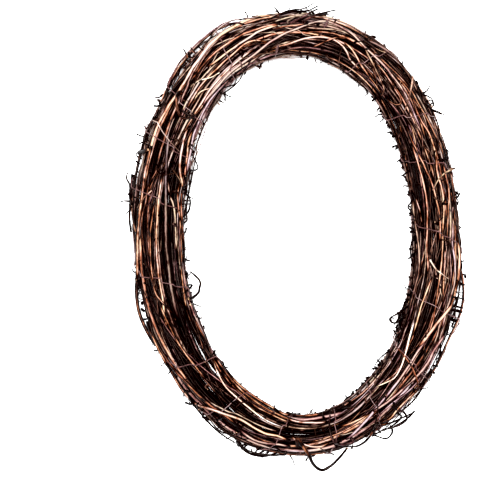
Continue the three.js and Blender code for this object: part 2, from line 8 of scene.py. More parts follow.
import math
import bpy
import numpy as np
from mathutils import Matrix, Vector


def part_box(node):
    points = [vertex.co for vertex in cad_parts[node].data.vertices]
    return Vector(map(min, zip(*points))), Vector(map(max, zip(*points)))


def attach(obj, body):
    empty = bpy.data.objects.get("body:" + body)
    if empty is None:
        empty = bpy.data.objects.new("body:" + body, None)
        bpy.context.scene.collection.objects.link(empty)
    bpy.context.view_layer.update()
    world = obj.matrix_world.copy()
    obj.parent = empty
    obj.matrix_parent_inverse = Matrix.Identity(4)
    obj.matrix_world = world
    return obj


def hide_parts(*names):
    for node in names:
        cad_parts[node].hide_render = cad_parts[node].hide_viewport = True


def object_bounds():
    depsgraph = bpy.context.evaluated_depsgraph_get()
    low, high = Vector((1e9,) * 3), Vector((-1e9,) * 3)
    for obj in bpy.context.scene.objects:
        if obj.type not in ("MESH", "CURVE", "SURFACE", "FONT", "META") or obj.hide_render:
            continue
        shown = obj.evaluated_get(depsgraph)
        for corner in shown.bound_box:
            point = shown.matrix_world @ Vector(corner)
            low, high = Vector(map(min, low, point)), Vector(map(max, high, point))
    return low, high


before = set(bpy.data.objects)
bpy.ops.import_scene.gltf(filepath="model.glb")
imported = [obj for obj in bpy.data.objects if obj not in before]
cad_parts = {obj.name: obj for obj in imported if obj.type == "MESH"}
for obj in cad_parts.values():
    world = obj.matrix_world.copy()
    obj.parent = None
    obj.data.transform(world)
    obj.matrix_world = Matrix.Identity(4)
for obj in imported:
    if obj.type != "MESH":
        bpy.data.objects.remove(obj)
cad_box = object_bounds()

DEGREE = math.pi / 180
MM = 0.001
TINY = 1e-9
QUARTERS = (0, 0.25, 0.5, 0.75)
PHASES = 6  # radians over which waves start at random

# The ring and its bundle, as in the solids
HALF_WIDTH = 125
HALF_HEIGHT = 180
FLATNESS = 0.84
# How far the bundle's middle lies off the oval, and half its width, at even distances
BUNDLE = np.array([
    (1, 20.7), (1, 21.2), (-1.6, 20.8), (-0.8, 22), (2.4, 22.8), (2.8, 21),
    (-0.5, 19.2), (-3.6, 21.8), (-1, 22.8), (0.5, 23.2), (1.8, 24.4), (7, 22),
])
STATIONS = 46  # sections round the ring
CANE_GAP = 0.5
LEAST_RISE = 0.04  # square of the least share of the bundle's height that a place on the front has

# How the canes are eased apart
SETTLE_ROUNDS = 420
SUPPLE_SHARE = 0.75
EASE = 0.1
STIFFNESS = 0.16
HOLD_ACROSS = 0.06
HOLD_UP = 0.02
HOLD_BULGE = 0.35
DRAW_IN = 0.25

# Binding wire
WIRE_RADIUS = 0.5
WIRE_GAP = 0.35
WIRE_STEPS = 16
WIRE_BESIDE = (-0.15, 0, 0.15)  # stations to either side at which the wire clears the canes too
WIRE_CROSSINGS = [18, 67, 131, 174, 239, 304, 357, 408, 449, 500, 556, 604, 684, 757, 805, 842, 900, 950]

# Side shoots
SHOOT_STEP = 4
COURSE_STEPS = 201  # by which the length of a shoot's course is measured
ROUND = 20 * DEGREE  # about so many millimetres round the bundle to the degree
SHOOT_TIP = 0.55
SHOOT_GAP = 0.35
SHARES_TRIED = (0.25, 0.5, 0.75, 1)  # of a stretch, where its gap is tried
ROOT_SHARE = 0.85
LIFT_STEP = 0.35
MOST_LIFT = 5
NEAR = 75  # how far from a shoot's root others count as in its way
SHOOT_SHIFTS = [0, 2, -2, 4, -4, 7, -7]  # along the ring, in the order in which they are tried
FOOT_DEPTH = 3
FOOT_RADIUS = 1.9
FOOT_DISTANCES = [6, 239, 501, 682]

# Canes that show on the front: bark, radii, how far each runs on inside, and the places it passes
FRONT_CANES = [
    ("orange", (2.7, 2.1), 330, [(540, 5), (572, 9), (608, 14), (644, 19), (662, 22), (684, 20),
        (720, 17), (765, 16), (805, 18), (841, 17), (877, 19), (913, 23), (949, 23), (975, 20)]),
    ("brown", (1.7, 1.4), 380, [(805, -11), (837, -7), (877, -5), (913, -6), (936, -4), (950, 0),
        (966, 6), (976, 14), (988, 17), (1006, 14), (1025, 10), (1042, 3), (1063, -5), (1089, -9)]),
    ("brown", (1.7, 1.3), 300, [(931, -11), (966, -4), (979, 1), (993, 3), (1006, 1), (1020, -5),
        (1042, -9), (1092, -6), (1127, -5), (1145, -3), (1181, 3), (1235, 3), (1271, 4), (1288, 1),
        (1324, -2)]),
    ("orange", (1.8, 1.5), 420, [(20, 10), (38, 12), (59, 11), (90, 9), (126, 6), (161, 3), (190, -1)]),
    ("brown", (1.8, 1.4), 340, [(54, 11), (90, 14), (126, 14), (161, 16), (197, 15), (233, 10),
        (269, 8), (300, 11), (322, 7), (350, 2)]),
    ("orange", (2.4, 2), 260, [(212, 19), (251, 20), (288, 21), (310, 14), (335, 6), (358, 4), (394, 2),
        (430, 4), (459, 5), (482, 7), (520, 9)]),
    ("pink", (2.4, 1.9), 300, [(305, 21), (322, 24), (340, 19), (369, 13), (394, 7), (410, 5),
        (432, 10), (450, 14), (482, 16), (513, 14), (553, 11), (572, 17), (608, 18), (644, 15)]),
    ("brown", (1.6, 1.3), 320, [(306, -7), (358, -7), (412, -9), (430, -6), (459, -5), (482, -7),
        (536, -13), (572, -15), (594, -20), (621, -22), (657, -19)]),
    ("pink", (2.6, 2.1), 240, [(421, -9), (444, -15), (482, -19), (518, -19), (554, -22), (590, -23),
        (644, -22), (680, -17), (716, -20), (752, -20), (788, -18), (823, -15), (859, -12)]),
    ("orange", (1.9, 1.5), 280, [(621, -7), (644, -5), (662, 1), (680, 7), (698, 9), (720, 13),
        (760, 12), (774, 8), (792, 5), (823, 7), (859, 12), (877, 15), (895, 20), (930, 27)]),
    ("brown", (1.6, 1.3), 300, [(540, 0), (572, -5), (608, -3), (644, 1), (680, 1), (716, 1), (752, 1),
        (788, 0), (823, -4), (859, -3), (900, -3), (913, 2), (925, 5), (940, -1)]),
    ("dark", (2.9, 2.4), 200, [(549, -9), (608, -10), (644, -9), (716, -10), (752, -8), (788, -1),
        (805, 3), (837, 4)]),
    ("pink", (1.5, 1.3), 300, [(841, 10), (864, 12), (900, 13), (936, 12), (966, 14), (990, 10),
        (1010, 6)]),
    ("brown", (1.5, 1.2), 360, [(297, -12), (322, -11), (340, -8), (358, -4), (369, -1), (378, -2),
        (396, -9)]),
    ("orange", (1.6, 1.3), 330, [(108, 8), (135, 11), (161, 12), (197, 7), (215, 8), (251, 5), (287, 7),
        (310, 5)]),
    ("brown", (1.6, 1.3), 360, [(99, -11), (126, -10), (161, -10), (197, -9), (233, -8), (269, -6),
        (297, -3)]),
    ("dark", (1.5, 1.3), 260, [(90, -13), (161, -16), (215, -18), (269, -17), (322, -16), (376, -15)]),
    ("brown", (1.6, 1.3), 300, [(950, 21), (983, 20), (1019, 19), (1055, 22), (1073, 21), (1100, 17)]),
    ("orange", (1.5, 1.2), 120, [(256, 20), (273, 25), (288, 31), (300, 31), (318, 26), (335, 24),
        (352, 26), (372, 22)]),
    ("orange", (1.5, 1.3), 120, [(733, 24), (770, 27), (805, 28), (841, 26), (859, 29), (900, 31),
        (925, 28)]),
    ("brown", (1.7, 1.3), 220, [(790, 19), (830, 23), (870, 25), (905, 27), (940, 25), (975, 20)]),
    ("orange", (1.6, 1.3), 260, [(855, 20), (885, 23), (915, 24), (950, 20), (985, 16), (1015, 16)]),
    ("dark", (2.2, 1.8), 200, [(590, 16), (640, 19), (680, 22), (720, 24.5), (760, 24.5), (800, 22),
        (830, 20)]),
    ("dark", (1.7, 1.3), 300, [(60, -16), (100, -19), (150, -22), (205, -22), (260, -21), (310, -19),
        (360, -17)]),
]
BULGING = (18, 19)  # the two canes whose routes stand off the bundle

# Inner canes: how many, their radii and their lengths
INNER_CANES = [(4, (2.6, 1.9), 1250), (11, (1.74, 1.4), 1200), (8, (1.5, 1.1), 1150)]
INNER_BARKS = ["brown", "dark", "orange", "dark", "brown", "pink"]
INNER_ANGLES = (150, 400)
INNER_DEPTHS = (0.5, 1)
EVEN_SHARES = (0.618, 0.755, 0.57)
FIRST_SHARE = 0.3  # of the first cane, before the even shares are added
INNER_SEED = 41
WANDER_STEP = 95
WANDER_TURN = 0.42
WANDER_OUT = (-0.25, 0.3)
DRIFTS = (-0.3, 0.25)
RISE = 45
RISE_DEPTHS = (0.35, 0.6)
TAIL_DEPTHS = (0.45, 0.9)
TAIL_TURNS = (0.2, 1)
TAIL_SEED = 7

# Shoots that show: radius, and places as distance round the ring, angle round the bundle, height
SHOOTS = [
    (2.1, [(484, 84, 0), (479, 62, 0), (475, 36, 2), (472, 12, 7), (467, 4, 12), (460, 4, 9),
        (453, 8, 4), (446, 20, 0)]),
    (0.9, [(127, 30, 0), (133, 18, 1), (137, 10, 5), (142, 7, 9)]),
    (0.8, [(119, 24, 0), (123, 16, 3), (128, 12, 5), (131, 14, 3), (131, 20, 0)]),
    (0.9, [(-10, 22, 0), (-3, 10, 1), (5, 7, 3), (11, 5, 9)]),
    (1.1, [(-6, 62, 0), (4, 40, 0), (14, 14, 4)]),
    (1.2, [(4, 56, 0), (16, 24, 1), (26, 8, 6)]),
    (1, [(306, 172, 0), (315, 179, 1), (322, 181, 5), (327, 182, 8), (331, 180, 5)]),
    (0.9, [(310, 205, 0), (322, 194, 2), (332, 188, 3)]),
    (1.1, [(414, 22, 0), (405, 10, 3), (391, 5, 9)]),
    (1.2, [(395, 34, 0), (393, 14, 4), (400, 9, 6), (409, 8, 3), (417, 12, 0)]),
    (1, [(428, 20, 0), (436, 9, 2), (443, 10, 2), (448, 20, 0)]),
    (1, [(493, 28, 0), (506, 13, 2), (520, 10, 4), (535, 16, 0)]),
    (0.9, [(538, 24, 0), (546, 11, 2), (558, 15, 0)]),
    (1.3, [(665, 170, 0), (672, 178, 4), (679, 180, 7), (686, 180, 5), (691, 176, 2)]),
    (0.9, [(739, 168, 0), (751, 178, 2), (766, 178, 3)]),
    (0.9, [(792, 172, 0), (781, 180, 2), (771, 180, 4)]),
    (1, [(820, 40, 0), (813, 66, 0), (803, 112, 0)]),
    (1.6, [(846, 62, 0), (836, 72, 0), (829, 88, 0), (829, 104, 0), (836, 118, 0)]),
    (0.8, [(872, 168, 0), (884, 178, 2), (894, 178, 2), (902, 166, 0)]),
    (1.3, [(103, 22, 0), (109, 48, 0), (116, 74, 0), (124, 100, 0)]),
    (1.2, [(183, 26, 0), (185, 52, 0), (190, 74, 0), (198, 94, 0)]),
    (1.1, [(264, 112, 0), (272, 92, 0), (278, 60, 0)]),
    (1.4, [(440, 40, 0), (449, 48, 0), (454, 74, 0), (454, 102, 0), (449, 138, 0)]),
    (0.9, [(427, 20, 0), (417, 50, 0), (409, 76, 0), (400, 108, 0)]),
    (0.9, [(374, 26, 0), (366, 60, 0), (358, 100, 0), (352, 144, 0)]),
    (1.8, [(751, 18, 0), (762, 9, 0), (775, 6, 2)]),
]
PALE_SHOOTS = (16, 19, 20, 21)
SPUR_COUNT = 34
SPUR_SEED = 23
SPUR_RADIUS = 0.8
SPUR_LENGTH = (4, 8)
SPUR_AROUND = (-25, 205)
SPUR_LEAN = 0.9
SPUR_TURN = 14

# Canes laid on top, in this order: bark, radius, and places as distance round the ring and offset
LAID_SHIFT = (-2, -0.2)  # moves them all, to the right and up
LAID_TONES = {"orange": (-0.44, -0.12), "pink": (-0.44, -0.12), "brown": (-0.4, -0.08), "dark": (-0.3, 0),
              "pale": (-0.2, -0.04)}
LAID_CANES = [
    ("brown", 1.3, [(970, 7), (982, 7), (1004, 11.5), (1016, 11)]),
    ("dark", 1.3, [(54, 16), (82, 21), (106, 20.5), (120, 18)]),
    ("brown", 1, [(64, 16), (92, 19.5), (108, 19), (122, 17)]),
    ("orange", 1.2, [(66, 10), (85, 10.5), (98, 12.5), (112, 13.5), (128, 13), (155, 15), (168, 16.5),
        (184, 16)]),
    ("orange", 1.3, [(76, 8), (95, 9.5), (106, 11), (118, 10.5), (129, 8), (140, 8), (150, 10),
        (172, 9.5), (183, 7), (205, 8), (218, 7.5), (231, 5.5), (262, 5), (290, 5), (320, 7.5),
        (336, 6)]),
    ("brown", 1.2, [(92, 6), (110, 6), (140, 3), (150, 3.5), (168, -2), (180, -3)]),
    ("pink", 1.1, [(58, -12), (75, -11), (103, -9.5), (114, -8), (134, -6)]),
    ("orange", 1.3, [(133, -4.5), (145, -6.5), (156, -6.5), (182, -2.5), (198, 0.5), (210, 1.5),
        (224, 3), (250, 2)]),
    ("orange", 0.9, [(132, -3), (140, -2.5), (164, -6)]),
    ("orange", 1.2, [(1004, 4), (1016, 1.5), (1034, -6), (1060, -10), (1070, -10)]),
    ("orange", 1.3, [(936, -10), (950, -8.5), (958, -8), (986, 0), (997, 1.5), (1006, 0.5), (1014, -3),
        (1021, -7), (1038, -9.5)]),
    ("orange", 1.1, [(976, -11), (988, -6), (1003, 5), (1013, 8.5)]),
    ("orange", 1, [(1026, 9), (1054, -7), (1064, -10.5)]),
    ("orange", 1.1, [(68, 4.5), (88, 3.5), (104, 1.5), (113, 1), (117, -1), (116, -5), (111, -8),
        (101, -10)]),
    ("pink", 1.5, [(836, 7), (850, 9), (874, 15), (897, 19.5), (914, 20)]),
    ("orange", 1.7, [(790, 16), (806, 17), (825, 17), (855, 15), (880, 18), (905, 22), (932, 22.5),
        (950, 20)]),
    ("orange", 1.4, [(858, 10.5), (895, 12.5), (910, 12), (925, 12), (940, 11), (956, 11)]),
    ("orange", 1.2, [(880, 9), (890, 6.5), (912, 6), (925, 7), (938, 9), (954, 9.5)]),
    ("brown", 1.1, [(834, 3), (862, 4), (875, 5), (892, 4.5)]),
    ("orange", 1.3, [(840, 1), (860, 1), (875, 1.5), (890, 1), (905, 1.5), (925, 3.5), (942, -4)]),
    ("orange", 1.3, [(834, -8), (858, -7.5), (898, -6.5), (930, -4)]),
    ("pink", 1.3, [(850, -9.5), (875, -10), (895, -9.5), (925, -8), (955, 1.5), (966, 5), (984, 14.5),
        (990, 16), (1008, 14), (1026, 9), (1050, 7.5), (1082, 6), (1098, 4.5), (1114, 4)]),
    ("orange", 1.1, [(942, 7), (968, 8.5), (980, 11)]),
    ("brown", 1, [(942, 14), (955, 15), (978, 20)]),
    ("dark", 0.9, [(948, 18), (960, 19), (974, 24)]),
    ("brown", 1.1, [(852, 21.5), (870, 20.5), (888, 19)]),
    ("pink", 1.1, [(843, 24), (866, 29.5), (880, 30.5), (908, 30), (917, 27.5), (929, 18)]),
    ("brown", 1, [(866, 27), (876, 25), (888, 24), (910, 29), (920, 28.5), (928, 25), (944, 20)]),
    ("dark", 1.1, [(796, 24), (806, 26), (848, 22)]),
    ("brown", 1.1, [(800, 4.5), (824, 6.5), (840, 6.5)]),
    ("orange", 1.4, [(768, -20), (777, -18), (786, -14), (818, -8.5), (830, -8)]),
    ("orange", 1.3, [(776, -21), (786, -18.5), (797, -17), (815, -13.5), (830, -12)]),
    ("pink", 1.2, [(780, -21), (806, -18), (820, -15.5), (835, -14), (865, -12.5), (880, -13),
        (896, -13)]),
    ("dark", 1.9, [(640, -8.5), (660, -8.5), (680, -9), (700, -9.5), (720, -8.5), (740, -8),
        (757, -6.5), (785, -2), (816, 5)]),
    ("orange", 1.3, [(642, 4), (655, 2.5), (668, 0.5), (704, 0), (722, 0), (738, -0.5), (756, 0),
        (782, 0)]),
    ("orange", 1.2, [(666, 3), (676, 5), (688, 6), (716, 5.5), (732, 5), (760, 2)]),
    ("orange", 1.2, [(640, -5), (650, -5), (657, -3.5), (672, 4.5), (684, 6.5), (712, 11.5), (740, 13),
        (752, 11.5), (770, 10), (780, 7), (794, 4.5)]),
    ("orange", 1.3, [(580, -6), (598, -5), (625, -1), (655, 2.5), (672, 5)]),
    ("brown", 1.2, [(706, -18.5), (716, -17.5), (741, -16), (755, -13), (763, -9), (776, -6)]),
    ("pink", 0.9, [(644, -14), (655, -14), (670, -13), (710, -14.5)]),
    ("orange", 1.2, [(646, -17), (680, -19.5), (720, -22), (740, -20.5), (768, -16), (784, -17)]),
    ("orange", 1.3, [(698, -23), (708, -24), (722, -24), (752, -21), (774, -18)]),
    ("orange", 1.9, [(632, 20), (655, 24), (665, 24.5), (678, 23), (700, 18.5), (730, 16.5), (757, 15),
        (770, 16), (785, 16), (804, 16.5)]),
    ("pink", 1, [(750, 24), (762, 25), (780, 24.5), (816, 25)]),
    ("dark", 1.1, [(728, 23.5), (740, 25), (766, 26.5), (775, 28)]),
    ("orange", 1.9, [(534, 5), (548, 4), (562, 5.5), (590, 9.5), (613, 14.5), (640, 18), (656, 17)]),
    ("orange", 1.5, [(484, 4), (500, 0), (511, 0.5), (531, -1.5), (541, -0.5), (559, 6), (573, 15),
        (581, 17.5), (604, 17.5), (618, 17.5), (652, 20)]),
    ("pink", 1.4, [(536, 6.5), (518, 9.5), (496, 7.5), (488, 8), (484, 6.5)]),
    ("brown", 0.9, [(494, -3), (510, -4), (540, -3.5), (550, -0.5), (570, 5)]),
    ("orange", 1.1, [(484, -12), (512, -17), (530, -18), (550, -20), (570, -20), (602, -22), (616, -24),
        (632, -22.5), (650, -21)]),
    ("orange", 1.5, [(478, -13), (495, -17), (525, -21), (565, -23), (604, -24.5)]),
    ("orange", 1.4, [(480, -18), (500, -20.5), (515, -23), (535, -24.5), (555, -25), (580, -25)]),
    ("pink", 1, [(576, -14), (595, -14), (612, -13), (648, -14)]),
    ("pale", 1.1, [(494, -8), (510, -10), (535, -14), (550, -15), (565, -15), (590, -19), (599, -22)]),
    ("brown", 1.1, [(472, -6), (490, -6), (502, -8), (530, -11), (548, -12)]),
    ("orange", 1.7, [(443, -15), (454, -17), (480, -19), (494, -21)]),
    ("orange", 1.3, [(446, -8), (462, -11), (486, -15), (498, -18)]),
    ("orange", 1.1, [(412, -8), (425, -11), (449, -18)]),
    ("orange", 1.2, [(410, 4.5), (425, 2), (450, -2)]),
    ("orange", 1, [(408, 4), (440, 3.5), (474, 4.5)]),
    ("pink", 1.6, [(328, 7), (352, 4), (381, 2.5), (409, 4), (446, 13)]),
    ("brown", 1.1, [(336, 8), (350, 5.5), (382, 5.5), (410, 6)]),
    ("pink", 1.2, [(350, 19), (372, 17), (392, 12), (402, 10.5), (416, 10)]),
    ("pink", 1.6, [(318, 24), (338, 18.5), (350, 17.5), (374, 12), (398, 6), (414, 4)]),
    ("orange", 1.3, [(368, 23), (394, 18.5), (404, 19.5), (420, 13)]),
    ("pink", 1.1, [(338, -9), (362, -7.5), (390, -8.5), (404, -10), (416, -10), (428, -8),
        (454, -6.5)]),
    ("pink", 0.9, [(318, -12), (355, -11.5), (375, -12), (394, -11.5)]),
    ("orange", 1, [(324, -4), (345, -4.5), (368, -2.5), (392, -9)]),
    ("pale", 1, [(314, -9), (336, -7), (356, -3.5), (374, -1.5), (390, -8), (398, -11)]),
    ("orange", 1.1, [(454, 9), (463, 11), (477, 6), (492, -4)]),
    ("brown", 1.2, [(200, -17.5), (220, -18.5), (240, -17), (270, -14), (300, -15), (322, -15)]),
    ("orange", 1, [(196, -18), (220, -13), (234, -11)]),
    ("orange", 1.2, [(154, -8), (175, -8), (205, -7), (232, -8), (246, -9), (280, -5.5)]),
    ("brown", 1, [(232, -14), (246, -10.5), (268, -9), (282, -8.5), (296, -9.5), (312, -9), (334, -9)]),
    ("orange", 1.1, [(276, -1), (302, -6), (336, -5)]),
    ("orange", 1.2, [(246, 7.5), (278, 8.5), (306, 13)]),
    ("orange", 1.3, [(172, 14), (206, 13.5), (220, 11), (232, 9.5), (250, 9)]),
    ("dark", 1, [(200, 17), (224, 21), (250, 19)]),
    ("pink", 1.1, [(244, 12), (262, 13), (275, 15), (300, 13), (316, 12)]),
    ("pink", 1.2, [(226, 14), (252, 15), (264, 17.5), (278, 19), (304, 17), (324, 18)]),
    ("orange", 1.8, [(240, 19), (268, 22), (292, 21.5), (320, 10.5), (331, 6.5), (344, 3)]),
]
# Twigs laid over them, from root to tip
LAID_TWIGS = [
    ("pale", 0.8, [(1018, 13), (1026, 14), (1034, 14.5), (1041, 17.5)]),
    ("pale", 1, [(1026, 9.5), (1032, 5), (1058, -4.5), (1064, -6.5), (1067, -11)]),
    ("dark", 0.8, [(108, 24.5), (118, 20), (126, 18)]),
    ("dark", 0.7, [(130, 18), (137, 25), (141, 29)]),
    ("brown", 0.6, [(127, 18), (136, 21.5), (145, 22.5), (153, 20)]),
    ("brown", 0.5, [(126, 22), (127, 26), (131, 27), (132, 23), (130, 19)]),
    ("pale", 0.9, [(159, 0), (164, 4), (171, 5.5), (204, 2.5)]),
    ("pale", 0.7, [(282, 13), (279, 9), (276, 6)]),
    ("pale", 0.8, [(860, 9), (867, 6.5), (878, -1), (886, -3.5)]),
    ("pale", 0.9, [(853, -0.5), (860, -1), (865, -3), (869, -6)]),
    ("pink", 1.2, [(842, 15), (841, 9), (839, 4), (838, -2), (838, -7), (834, -10)]),
    ("orange", 0.8, [(827, -3), (825, -7), (828, -10)]),
    ("pale", 0.7, [(455, 23), (460, 17), (464, 12)]),
    ("orange", 0.9, [(597, -21), (600, -18.5), (605, -17), (610, -18), (615, -21)]),
    ("orange", 1, [(671, 3), (671.5, 8), (674, 12), (678, 14.5)]),
    ("pale", 0.5, [(697, 10), (702, 13.5), (706, 17.5)]),
    ("pale", 0.9, [(748, 18), (757, 13), (764, 7)]),
    ("pale", 0.9, [(789, -5), (779, -15), (775, -18)]),
    ("pale", 0.7, [(781, -5), (783.5, -9.5)]),
    ("pale", 0.7, [(744, -14), (749, -19), (753, -22)]),
    ("brown", 2, [(793, 26), (795, 22), (797, 18)]),
    ("dark", 0.9, [(388, 34), (407, 29), (414, 24)]),
    ("dark", 0.9, [(408, 27), (410, 31.5), (416, 32.5), (421, 25), (423, 19)]),
    ("brown", 0.9, [(398, 19), (397.5, 27.5), (409, 27), (415, 25)]),
    ("dark", 0.5, [(376, 20), (388, 22.5), (412, 24.5), (424, 23)]),
    ("dark", 0.8, [(420, 20), (428, 23), (436, 23.5), (449, 17)]),
    ("dark", 0.9, [(260, 23), (266, 24.5), (270, 23.5)]),
    ("dark", 1, [(290, 21), (294, 24.5), (299, 24), (302, 21)]),
    ("dark", 0.7, [(330, 21), (338, 25), (348, 26), (360, 24), (370, 21)]),
    ("dark", 0.8, [(503, 16), (505, 21)]),
    ("dark", 0.9, [(507, 17), (511, 22), (515, 22.5), (517, 19)]),
    ("dark", 0.9, [(522, 18), (527, 22), (530, 18)]),
    ("dark", 1, [(590, 14), (576, 17.5), (560, 19.5), (545, 21), (531, 21)]),
    ("dark", 1.3, [(529, 17), (525, 21), (519, 23.5), (512, 23.5), (505, 21.5), (497, 16)]),
    ("dark", 1, [(558, 14), (561.5, 20), (565, 15)]),
    ("dark", 0.7, [(240, -19), (250, -21.5), (262, -21), (280, -16)]),
    ("dark", 1, [(252, -15), (260, -20), (265, -24)]),
    ("dark", 1, [(177, -15), (180, -21), (181, -25)]),
    ("dark", 1, [(161, -16), (165, -21), (166, -25)]),
    ("dark", 0.8, [(203, -17), (209, -20.5), (212, -23), (217, -21), (224, -18)]),
    ("brown", 1.8, [(235, -15), (236.5, -20), (237.5, -23)]),
    ("dark", 1, [(308, -15), (315, -20), (322, -21), (327, -20), (329.5, -23), (329, -27), (326, -28),
        (325, -24)]),
    ("dark", 1.5, [(316, -14), (322, -18), (328, -19), (334, -15)]),
    ("dark", 0.9, [(318, -16), (321, -21), (318, -24)]),
    ("dark", 0.7, [(356, -16), (364, -20), (374, -21.5), (382, -20)]),
    ("dark", 0.9, [(378, -17), (381, -21), (383, -22)]),
    ("dark", 1.1, [(668, -18), (675, -27.5), (676, -22)]),
    ("dark", 0.9, [(742, -21), (748, -26), (756, -28), (764, -26), (768, -21)]),
    ("dark", 0.8, [(789, -20), (794, -28), (806, -20)]),
    ("dark", 0.6, [(876, -13), (890, -18.5), (895, -16), (898, -11)]),
    ("dark", 0.7, [(894, -12), (899, -15), (906, -15.5), (920, -10)]),
    ("dark", 0.9, [(836, 23), (838, 28.5)]),
    ("dark", 0.9, [(812, 24), (815, 30)]),
    ("dark", 0.6, [(956, 17), (962, 21), (966, 24), (964, 28)]),
    ("dark", 1, [(950, 18), (960, 20.5), (970, 22.5), (975, 24.5), (981, 30)]),
    ("brown", 1.1, [(959, 10), (966, 12.5), (975, 17), (985, 23)]),
    ("dark", 0.8, [(942, 16), (951, 19), (960, 23.5), (962.5, 28.5)]),
    ("brown", 0.9, [(968, 15), (980, 19), (990, 24.5)]),
]


def seeded(seed):
    """The same generator of numbers from 0 to 1 as the solids use."""
    state = seed

    def draw():
        nonlocal state
        word = 0xFFFFFFFF
        state = (state + 0x6D2B79F5) & word
        t = ((state ^ (state >> 15)) * (state | 1)) & word
        t ^= (t + (((t ^ (t >> 7)) * (t | 61)) & word)) & word
        return ((t ^ (t >> 14)) & word) / 4294967296

    return draw


def mix(a, b, share):
    return a + (b - a) * share


def between(a, b, c, d, t):
    """A point of the smooth curve from b to c, where a comes before them and d after."""
    return b + 0.5 * t * (c - a + t * (2 * a - 5 * b + 4 * c - d + t * (3 * (b - c) + d - a)))


# Distance round the centre line, over even steps of the oval's own angle
ARC_STEPS = 720
ARC_TURNS = 2 * math.pi * np.arange(ARC_STEPS + 1) / ARC_STEPS
ARC = np.concatenate([[0], np.cumsum(np.hypot(
    HALF_WIDTH * np.diff(np.sin(ARC_TURNS)), HALF_HEIGHT * np.diff(np.cos(ARC_TURNS))))])
RING_LENGTH = ARC[-1]


def station_at(distance):
    """The station, as a number that goes on past a lap, at distances round the ring."""
    laps = np.floor(np.asarray(distance, float) / RING_LENGTH)
    rest = distance - laps * RING_LENGTH
    return (laps + np.interp(rest, ARC, np.arange(ARC_STEPS + 1)) / ARC_STEPS) * STATIONS


def bundle_at(station):
    """The bundle's middle and half width at stations."""
    lap = np.mod(np.asarray(station, float) / STATIONS, 1) * ARC_STEPS
    place = np.interp(lap, np.arange(ARC_STEPS + 1), ARC) / RING_LENGTH * len(BUNDLE)
    first = np.floor(place).astype(int)
    t = (place - first)[..., None]
    found = between(*(BUNDLE[(first + k) % len(BUNDLE)] for k in (-1, 0, 1, 2)), t)
    return found[..., 0], found[..., 1]


def middle_at(station):
    """The offset of the bundle's middle at one station."""
    return float(bundle_at(station)[0])


def in_space(station, offset, height):
    """Points in space, in millimetres, of places in the sections."""
    angle = 2 * math.pi * np.asarray(station, float) / STATIONS
    sin, cos = np.sin(angle), np.cos(angle)
    nx, ny = HALF_HEIGHT * sin, HALF_WIDTH * cos
    size = np.hypot(nx, ny)
    up = height + bundle_at(station)[1] * FLATNESS
    x = HALF_WIDTH * sin + offset * nx / size
    y = HALF_HEIGHT * cos + offset * ny / size
    return np.stack(np.broadcast_arrays(x, y, up), -1)


def place_inside(distance, angle, out, radius):
    """A place by the angle round the bundle, as station, offset, height and whether it shows."""
    station = float(station_at(distance))
    middle, half = (float(v) for v in bundle_at(station))
    offset = middle + out * (half - radius) * math.cos(angle)
    return station, offset, out * (half * FLATNESS - radius) * math.sin(angle), False


def place_on_front(distance, offset, radius):
    """A place on the bundle's front, in the same form."""
    station = float(station_at(distance))
    middle, half = (float(v) for v in bundle_at(station))
    across = (offset - middle) / half
    height = (half * FLATNESS - radius) * math.sqrt(max(LEAST_RISE, 1 - across * across))
    return station, offset, height, True


def cane_through(places, radii, bark, bulge=False, density=1):
    """A cane as arrays over its stations, density of them for each station of the solids."""
    first = math.ceil(places[0][0] * density)
    last = math.floor(places[-1][0] * density)
    station = np.arange(first, last + 1) / density
    at, offsets, heights, shown = (np.array(column, float) for column in zip(*places))
    k = np.clip(np.searchsorted(at, station, "left") - 1, 0, len(at) - 2)
    both = (shown[k] * shown[k + 1]).astype(bool)
    offset = np.interp(station, at, offsets)
    height = np.interp(station, at, heights)
    radius = mix(radii[0], radii[1], np.arange(len(station)) / (len(station) - 1))
    return {"station": station, "offset": offset, "height": height, "radius": radius,
            "shown": both, "free": both & bulge, "bark": bark}


def front_cane(index, random):
    """A cane that shows: it rises from inside, follows its route and runs on inside."""
    bark, radii, run_on, route = FRONT_CANES[index]
    places = [place_on_front(*place, radii[0]) for place in route]
    start = route[0][0]
    end, offset = route[-1]
    side = -1 if offset < 0 else 1
    angle = math.pi / 2 - side * mix(*TAIL_TURNS, random())
    places.insert(0, place_inside(start - RISE, angle, mix(*RISE_DEPTHS, random()), radii[0]))
    for run in range(RISE, run_on + 1, WANDER_STEP):
        angle -= side * mix(*TAIL_TURNS, random())
        places.append(place_inside(end + run, angle, mix(*TAIL_DEPTHS, random()), radii[1]))
    return cane_through(places, radii, bark, index in BULGING)


def inner_cane(index, radii, length, random):
    """A cane that winds on inside the bundle."""
    share, share_out, share_round = ((index * step + FIRST_SHARE) % 1 for step in EVEN_SHARES)
    angle = mix(*INNER_ANGLES, share) * DEGREE
    out = mix(*INNER_DEPTHS, share_out)
    start = RING_LENGTH * share_round
    drift = mix(*DRIFTS, random())
    places = []
    for run in range(0, length + 1, WANDER_STEP):
        places.append(place_inside(start + run, angle, out, radii[0]))
        angle += drift + mix(-WANDER_TURN, WANDER_TURN, random())
        out = min(1, max(INNER_DEPTHS[0], out + mix(*WANDER_OUT, random())))
    return cane_through(places, radii, INNER_BARKS[index % len(INNER_BARKS)])


